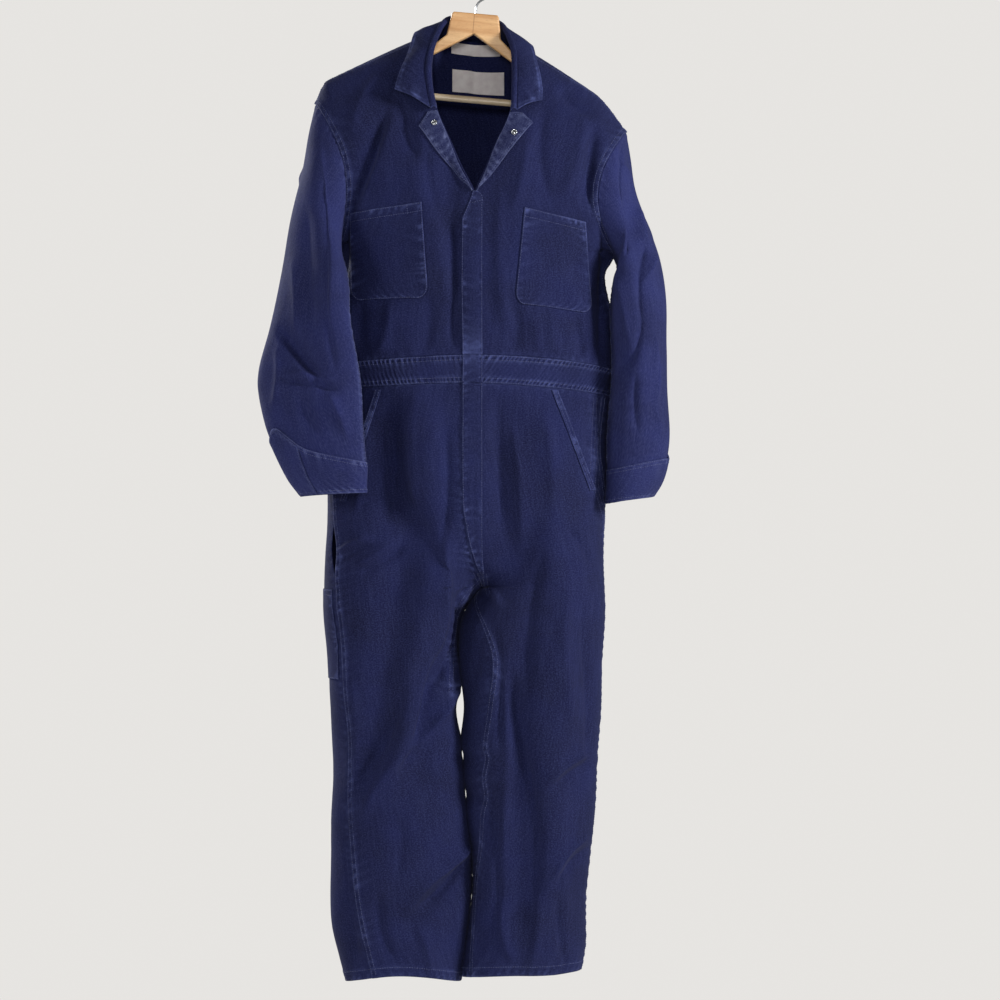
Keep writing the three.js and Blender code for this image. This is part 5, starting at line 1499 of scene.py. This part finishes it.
navy_twill = twill("navy_cotton_twill", 0x070C32, 0x0F1542, 0x4A5387, 0.95)
# The sleeves and cuffs take a lighter copy of the same twill: painted light, standing in for the light that
# falls on them.
sleeve_twill_painted_light = twill("cotton_twill_painted_lighter", 0x131844, 0x1D2357, 0x586092, 0.95)
facing_twill = twill("facing_cotton_twill", 0x0D123B, 0x191F49, 0x5F678F, 0.9)
print("twills:", navy_twill.name, sleeve_twill_painted_light.name, facing_twill.name)


# %% Thread, satin label, steel, beech
def sewing_thread():
    """Polyester-cotton thread: smoother than the cloth, so each stitch catches a little light."""
    material, tree = blank_material("navy_sewing_thread")
    spot = node(tree, "TexCoord").outputs["Object"]
    fleck = noise(tree, spot, 260.0, 2.0)
    colour = blend_colours(tree, scaled(tree, fleck, 0.35, 0.65), 0x1E2552, 0x4E5788)
    close_material(tree, Base_Color=colour, Roughness=0.6, Sheen_Weight=0.1)
    return material


def satin_label():
    """Woven polyester satin: fine level ribs and a soft gloss, greyed by washing."""
    material, tree = blank_material("washed_satin_label")
    weave = node(tree, "UVMap", uv_map="weave").outputs["UV"]
    worn = node(tree, "Attribute", attribute_name="wear").outputs["Fac"]
    blotch = noise(tree, weave, 70.0, 5.0)
    level = mapped(tree, weave, Rotation=(0, 0, math.pi / 2))
    rib = node(tree, "TexWave", {"Vector": level, "Scale": BANDS_PER_UNIT / RIB}).outputs["Fac"]
    colour = blend_colours(tree, scaled(tree, blotch, 0.35, 0.7), 0xFBF5F3, 0xEAE0E1)
    colour = blend_colours(tree, worn, colour, 0xB9ADB2)
    bump = node(tree, "Bump", {"Height": rib, "Distance": 0.0001, "Strength": 0.5}).outputs["Normal"]
    close_material(tree, Base_Color=colour, Roughness=0.55, Sheen_Weight=0.15, Normal=bump)
    return material


def polished_steel():
    """Plated steel, drawn and polished: a bright metal with fine smears in its gloss."""
    material, tree = blank_material("polished_plated_steel")
    spot = node(tree, "TexCoord").outputs["Object"]
    gloss = scaled(tree, noise(tree, spot, 300.0, 3.0), 0.3, 0.7, 0.18, 0.36)
    close_material(tree, Base_Color=linear(0xC4C7CB), Metallic=1.0, Roughness=gloss)
    return material


HANGER_TILT = math.radians(5)
GLUE_LINE = 0.0007


def lacquered_beech(name, pale, brown, joint):
    """Beech under clear lacquer: grain that runs along the rail, short pores, and at the middle
    the fine dark line of the glued joint."""
    material, tree = blank_material(name)
    spot = node(tree, "TexCoord").outputs["Object"]
    level = mapped(tree, spot, Rotation=(0, -HANGER_TILT, 0))
    grain = noise(tree, mapped(tree, level, Scale=(6.0, 90.0, 90.0)), 1.0, 6.0, Distortion=0.6)
    pore = noise(tree, mapped(tree, level, Scale=(160.0, 1500.0, 1500.0)), 1.0, 2.0)
    colour = blend_colours(tree, scaled(tree, grain, 0.35, 0.66), pale, brown)
    colour = blend_colours(tree, scaled(tree, pore, 0.56, 0.72, 0, 0.35), colour, 0x8A5E35)
    if joint:
        apart = node(tree, "SeparateXYZ", {"Vector": level}).outputs["X"]
        middle = node(tree, "Math", {0: apart, 1: 0.0, 2: GLUE_LINE}, operation="COMPARE").outputs[0]
        shade = node(tree, "Math", {0: middle, 1: 0.55}, operation="MULTIPLY").outputs[0]
        colour = blend_colours(tree, shade, colour, 0x8A5E35)
    bump = node(tree, "Bump", {"Height": pore, "Distance": 0.0001, "Strength": 0.3}).outputs["Normal"]
    close_material(
        tree, Base_Color=colour, Roughness=0.42, Coat_Weight=0.35, Coat_Roughness=0.2, Normal=bump
    )
    return material


thread_finish = sewing_thread()
label_finish = satin_label()
steel_finish = polished_steel()
rail_finish = lacquered_beech("lacquered_beech", 0xE6BA84, 0xC6915A, True)
# The bar's beech is paler and greyer than the rail's, and is also brightened towards white as painted light
# against the collar's shade.
bar_beech_painted_light = lacquered_beech("pale_beech_painted_light", 0xF5E4C8, 0xE0C49C, False)
print("materials:", len(bpy.data.materials))

# %% [markdown]
# ## From grids to cloth
# A grid becomes a mesh of quads, and Solidify gives it the thickness of the cloth on its inner side, so
# that the outer face stays where it was worked out. Each piece stands for its solid in the frame, takes
# its finish and rides on the one body.


# %% Mesh of a grid
def grid_mesh(name, grid):
    """Quads between neighbouring grid points, facing outwards, with the weave as UV and the wear as
    an attribute."""
    nu, nv = grid["points"].shape[:2]
    index = np.arange(nu * nv).reshape(nu, nv)
    quads = np.stack([index[:-1, :-1], index[1:, :-1], index[1:, 1:], index[:-1, 1:]], -1).reshape(-1, 4)
    if grid["turn"] < 0:
        quads = quads[:, ::-1]
    mesh = bpy.data.meshes.new(name)
    mesh.vertices.add(nu * nv)
    mesh.vertices.foreach_set("co", (grid["points"] * MM).ravel())
    mesh.loops.add(quads.size)
    mesh.loops.foreach_set("vertex_index", quads.ravel().astype(np.int32))
    mesh.polygons.add(len(quads))
    mesh.polygons.foreach_set("loop_start", np.arange(0, quads.size, 4, dtype=np.int32))
    mesh.polygons.foreach_set("use_smooth", np.ones(len(quads), bool))
    mesh.update(calc_edges=True)
    weave = mesh.uv_layers.new(name="weave")
    weave.data.foreach_set("uv", grid["weave"].reshape(-1, 2)[quads.ravel()].ravel())
    wear = mesh.attributes.new("wear", "FLOAT", "POINT")
    wear.data.foreach_set("value", grid["wear"].ravel())
    mesh.validate()
    return mesh


def cloth_piece(grid, material, thickness=CLOTH, offset=-1.0):
    """The piece of cloth for one grid, standing for the solid of the same name."""
    name = grid["name"]
    piece = bpy.data.objects.new(f"{name}_cloth", grid_mesh(f"{name}_cloth", grid))
    bpy.context.collection.objects.link(piece)
    piece.data.materials.append(material)
    wall = piece.modifiers.new("thickness", "SOLIDIFY")
    wall.thickness = thickness * MM
    wall.offset = offset
    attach(piece, "root")
    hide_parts(name)


for grid in PANELS.values():
    thickness = DOUBLED if "waistband" in grid["name"] else CLOTH
    # Sleeve panels take the lighter twill, which is painted light.
    finish = sleeve_twill_painted_light if "sleeve" in grid["name"] else navy_twill
    cloth_piece(grid, finish, thickness)
for grid in PATCHES.values():
    name = grid["name"]
    if name.startswith("label"):
        cloth_piece(grid, label_finish, LABEL_CLOTH)
    elif name.endswith("lapel"):
        cloth_piece(grid, facing_twill, DOUBLED)
    else:
        # Cuffs and their tabs take the lighter twill, which is painted light.
        finish = sleeve_twill_painted_light if "cuff" in name else navy_twill
        thickness = DOUBLED if name.endswith("_cuff") else CLOTH
        cloth_piece(grid, finish, thickness)
cloth_piece(COLLAR_GRID, navy_twill, DOUBLED, 0.0)
print("cloth pieces:", len(PANELS) + len(PATCHES) + 1)

# %% [markdown]
# ## Stitches
# A lockstitch shows as a row of short grains with small gaps. A curve with a pattern could stand for
# it, but only geometry catches light on each stitch, so every stitch is a tiny pointed prism of twelve
# triangles. One row after another is worked out as arrays and put into one mesh for each region.

# %% Rows of stitches
STITCH_PITCH = 4.0
STITCH_LENGTH = 2.8
STITCH_RADIUS = 0.48
FLATNESS = 1.15  # a stitch is a little wider than it is high
TAPER = 0.3  # share of its length from the middle to where it begins to narrow
STANDS_PROUD = 0.12
PENCIL_SLOT = 0.8  # share of the pocket's width
LINE_ROWS = 2.8  # each of two rows' distance from its line
LAPPED = (1.7, 8.0)  # the two rows of a lapped seam, from its edge
BESIDE = 0.03  # the share beside an edge over which its scale is measured
ROWS = {"bodice": [], "sleeves": [], "trousers": [], "collar": []}


def stitch(region, grid, u, v):
    """A row along a line of shares: centre, direction and outward side of every stitch."""
    points, normals = on_grid(grid, u, v)
    run = np.concatenate([[0], np.cumsum(np.linalg.norm(np.diff(points, axis=0), axis=1))])
    at = np.arange(STITCH_PITCH / 2, run[-1], STITCH_PITCH)
    if len(at) < 2:
        return
    centre, side = (
        np.stack([np.interp(at, run, values[:, k]) for k in range(3)], -1) for values in (points, normals)
    )
    ROWS[region].append((centre, unit(np.gradient(centre, axis=0)), unit(side)))


def edge_line(grid, edge, inset, start=0.0, stop=1.0):
    """Shares of a line at a fixed distance inside one edge: the distance is divided by the length
    that one unit of the share covers there."""
    along = np.linspace(start, stop, 300)
    rim, step = (0.0, BESIDE) if edge[1] == "0" else (1.0, -BESIDE)
    if edge[0] == "u":
        width = np.linalg.norm(on_grid(grid, rim + step, along)[0] - on_grid(grid, rim, along)[0], axis=-1)
        return rim + step * inset / width, along
    width = np.linalg.norm(on_grid(grid, along, rim + step)[0] - on_grid(grid, along, rim)[0], axis=-1)
    return along, rim + step * inset / width


def seam_rows(region, grid, edge, insets=LAPPED, start=0.0, stop=1.0):
    """Rows at given distances inside one edge of a grid."""
    for inset in insets:
        stitch(region, grid, *edge_line(grid, edge, inset, start, stop))


for side in SIDES:
    name = side["name"]
    front, pocket = PANELS[f"{name}_front"], PATCHES[f"{name}_chest_pocket"]
    seam_rows("bodice", front, "u0")
    seam_rows("bodice", front, "v1", stop=0.96)
    for edge in ("u0", "u1", "v1"):
        seam_rows("bodice", pocket, edge, (1.6,))
    seam_rows("bodice", pocket, "v0", (1.6, 14.5))
    if side is RIGHT:  # the slot for a pencil
        stitch("bodice", pocket, np.full(40, PENCIL_SLOT), np.linspace(0.01, 0.12, 40))
    seam_rows("bodice", PATCHES[f"{name}_lapel"], "u1", (4.5,))
    seam_rows("bodice", PATCHES[f"{name}_lapel"], "v1", (4.5,))
    for edge in ("v0", "v1"):
        seam_rows("trousers", PANELS[f"{name}_waistband"], edge)
    leg = PANELS[f"{name}_front_leg"]
    seam_rows("trousers", leg, "u0", start=0.004, stop=0.995)
    seam_rows("trousers", leg, "u1", start=SEAT_SHARE - 0.03, stop=0.995)
    seam_rows("trousers", leg, "v1", (15,))
    seam_rows("trousers", PANELS[f"{name}_back_leg"], "v1", (15,))
    seam_rows("trousers", PATCHES[f"{name}_hip_pocket"], "u0", (1.8, 8.0))
    seam_rows("sleeves", PANELS[f"{name}_sleeve_front"], "u1", stop=0.86)
    cuff, tab = PATCHES[f"{name}_cuff"], PATCHES[f"{name}_cuff_tab"]
    seam_rows("sleeves", cuff, "v0", (1.7, 7.5), 0.03, 0.97)
    seam_rows("sleeves", cuff, "v1", (5.5,), 0.03, 0.97)
    for edge in ("u0", "u1", "v0", "v1"):
        seam_rows("sleeves", tab, edge, (3.0,), 0.05, 0.95)
for edge in ("v0", "v1"):
    seam_rows("trousers", PANELS["back_waistband"], edge)
for edge in ("u0", "u1", "v1"):
    seam_rows("trousers", PATCHES["rule_pocket"], edge, (1.6,))
seam_rows("trousers", PATCHES["rule_pocket"], "v0", (2.0, 9.0))
for name, lines in LINES.items():
    for *_, corners in lines:
        share = np.linspace(0, len(corners) - 1, 120)
        x, drop = (np.interp(share, range(len(corners)), values) for values in zip(*corners))
        for shift in (-LINE_ROWS, LINE_ROWS):
            stitch("trousers", PANELS[name], *locate(PANELS[name], x + shift, drop))
for stretch, region in (("bodice", "bodice"), ("waist", "trousers"), ("fly", "trousers")):
    seam_rows(region, PATCHES[f"placket_{stretch}"], "u0", (1.6,))
    seam_rows(region, PATCHES[f"placket_{stretch}"], "u1", (1.2,))
seam_rows("bodice", PATCHES["placket_bodice"], "v1", (1.5, 20))
for edge in ("u0", "u1"):
    seam_rows("collar", COLLAR_GRID, edge, (4.5,), 0.7, 0.96)
seam_rows("collar", COLLAR_GRID, "v1", (4.5,), 0.008, 0.992)
print("rows:", {region: len(rows) for region, rows in ROWS.items()})


# %% Stitch meshes
def stitch_mesh(name, rows):
    """Each stitch is a prism on three sides with a point at each end: two rings of three corners,
    and two tips, along the row's direction."""
    centre, along, side = (np.concatenate(part) for part in zip(*rows))
    wide = np.cross(along, side)
    angles = np.radians([90, 210, 330])
    ring = [(np.cos(a) * FLATNESS, np.sin(a)) for a in angles]
    corners = [(x, y, end * TAPER * STITCH_LENGTH) for end in (-1, 1) for x, y in ring]
    corners += [(0, 0, -STITCH_LENGTH / 2), (0, 0, STITCH_LENGTH / 2)]
    shape = np.array(corners) * (STITCH_RADIUS, STITCH_RADIUS, 1)
    centre = centre + side * STANDS_PROUD
    points = (
        centre[:, None]
        + wide[:, None] * shape[None, :, :1]
        + side[:, None] * shape[None, :, 1:2]
        + along[:, None] * shape[None, :, 2:]
    )
    walls = [(k, (k + 1) % 3, 3 + (k + 1) % 3, 3 + k) for k in range(3)]
    tips = [(6, (k + 1) % 3, k) for k in range(3)] + [(7, 3 + k, 3 + (k + 1) % 3) for k in range(3)]
    triangles = [t for a, b, c, d in walls for t in ((a, b, c), (a, c, d))] + tips
    faces = (np.arange(len(centre))[:, None, None] * 8 + np.array(triangles)[None]).reshape(-1, 3)
    mesh = bpy.data.meshes.new(name)
    mesh.from_pydata((points.reshape(-1, 3) * MM).tolist(), [], faces.tolist())
    mesh.polygons.foreach_set("use_smooth", np.ones(len(faces), bool))
    return mesh


count = 0
for region, rows in ROWS.items():
    stitches = bpy.data.objects.new(f"stitches_{region}", stitch_mesh(f"stitches_{region}", rows))
    bpy.context.collection.objects.link(stitches)
    stitches.data.materials.append(thread_finish)
    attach(stitches, "root")
    count += sum(len(row[0]) for row in rows)
print("stitches:", count)

# %% [markdown]
# ## Snaps
# A snap's cap is pressed from sheet steel: a rolled rim, a groove, and a low dome. Its section is a
# short list of radii and heights, turned about the cap's axis, which stands on the lapel's cloth.

# %% Snap caps on the lapels
SNAP_SECTION = [
    (4.9, -0.3),
    (5.0, 0.5),
    (4.7, 1.1),
    (4.2, 1.3),
    (3.7, 1.1),
    (3.5, 0.8),
    (3.2, 0.9),
    (2.4, 1.35),
    (1.2, 1.6),
]
SNAP_TOP, SNAP_BACK = 1.65, 0.3
SNAPS = ((RIGHT, -70, 257), (LEFT, 60, 272))
TURNS = 32
for side, x, drop in SNAPS:
    lapel = PATCHES[f"{side['name']}_lapel"]
    apart = np.hypot(lapel["points"][..., 0] - x, -lapel["points"][..., 2] - drop)
    spot = np.unravel_index(apart.argmin(), apart.shape)
    centre, axis = lapel["points"][spot], lapel["normals"][spot]
    first = unit(np.cross(axis, (0, 0, 1.0)))
    second = np.cross(axis, first)
    angle = np.linspace(0, 2 * math.pi, TURNS, endpoint=False)
    radius, height = np.array(SNAP_SECTION).T
    ring = np.cos(angle)[:, None] * first + np.sin(angle)[:, None] * second
    points = centre + ring[None] * radius[:, None, None] + axis * height[:, None, None]
    poles = [centre + axis * SNAP_TOP, centre - axis * SNAP_BACK]
    corners = np.concatenate([points.reshape(-1, 3), poles])
    rows = len(SNAP_SECTION)
    faces = [
        (r * TURNS + k, r * TURNS + (k + 1) % TURNS, (r + 1) * TURNS + (k + 1) % TURNS, (r + 1) * TURNS + k)
        for r in range(rows - 1)
        for k in range(TURNS)
    ]
    top = (rows - 1) * TURNS
    faces += [(top + k, top + (k + 1) % TURNS, rows * TURNS) for k in range(TURNS)]
    faces += [((k + 1) % TURNS, k, rows * TURNS + 1) for k in range(TURNS)]
    mesh = bpy.data.meshes.new(f"{side['name']}_snap_cap")
    mesh.from_pydata((corners * MM).tolist(), [], faces)
    mesh.polygons.foreach_set("use_smooth", np.ones(len(faces), bool))
    cap = bpy.data.objects.new(f"{side['name']}_snap_cap", mesh)
    bpy.context.collection.objects.link(cap)
    cap.data.materials.append(steel_finish)
    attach(cap, "root")
    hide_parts(f"{side['name']}_snap")
print("snaps:", len(SNAPS))

# %% [markdown]
# ## The hanger
# The rail, the bar and the hook have their right shapes in the frame already, so they stay and take
# finishes of beech and steel.

# %% Finishes on the hanger's solids
# The bar takes the beech that is brightened with painted light.
for name, finish in (("hanger_wood", rail_finish), ("hanger_bar", bar_beech_painted_light), ("hanger_hook", steel_finish)):
    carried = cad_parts[name]
    carried = bpy.data.objects[carried] if isinstance(carried, str) else carried
    carried.data.materials.clear()
    carried.data.materials.append(finish)
print("hanger finished")

# %% [markdown]
# ## Floor, ground and light
# The photograph has a plain pale ground with no shadow on it, and the suit is looked at from all sides,
# so nothing stands behind it: a pale floor lies below, and the room's own pale air is seen all round. That
# air would light the suit from every side and flatten its folds if it shone as brightly as it looks, so it
# lights the cloth with a small share of what is seen. A lamp grazes the cloth from the viewer's right and
# shapes the folds, and weaker ones from the left, the front and the back keep the shades open.

# %% Floor
FLOOR_Z, FLOOR_HALF = -2.05, 2.6
FLOOR_CORNERS = [(-FLOOR_HALF, -3.6), (FLOOR_HALF, -3.6), (FLOOR_HALF, 1.3), (-FLOOR_HALF, 1.3)]
mesh = bpy.data.meshes.new("floor")
mesh.from_pydata([(x, y, FLOOR_Z) for x, y in FLOOR_CORNERS], [], [(0, 1, 2, 3)])
floor = bpy.data.objects.new("floor", mesh)
bpy.context.collection.objects.link(floor)
paint, tree = blank_material("pale_floor_paint")
close_material(tree, Base_Color=linear(0xDCDAD8), Roughness=0.9)
floor.data.materials.append(paint)
print("floor at", FLOOR_Z)

# %% Lamps and the room's own light
AIM = np.array([0.0, 0.0, -0.85])


def lamp(name, at, size, watts):
    """A square lamp that faces the middle of the suit."""
    light = bpy.data.lights.new(name, "AREA")
    light.size, light.energy = size, watts
    made = bpy.data.objects.new(name, light)
    made.location = at
    x, y, z = AIM - np.array(at)
    made.rotation_euler = (math.atan2(math.hypot(x, y), -z), 0, math.atan2(y, x) - math.pi / 2)
    bpy.context.collection.objects.link(made)


lamp("main_lamp", (3.3, -1.7, 0.3), 0.9, 158)
lamp("left_lamp", (-3.4, -1.5, 0.3), 0.9, 44)
lamp("front_lamp", (0.0, -4.4, -0.2), 0.7, 44)
lamp("back_lamp", (-2.6, 2.4, 0.6), 1.2, 120)
SEEN, CAST = 0.985, 0.14  # how bright the air looks, and how much it lights
world = bpy.data.worlds.new("room")
world.use_nodes = True
tree = world.node_tree
air = tree.nodes["Background"]
air.inputs["Color"].default_value = linear(0xE8E6E3)
looked_at = node(tree, "LightPath").outputs["Is Camera Ray"]
tree.links.new(scaled(tree, looked_at, 0.0, 1.0, CAST, SEEN), air.inputs["Strength"])
bpy.context.scene.world = world
bpy.context.scene.view_settings.view_transform = "Standard"
print("lamps:", len(bpy.data.lights))
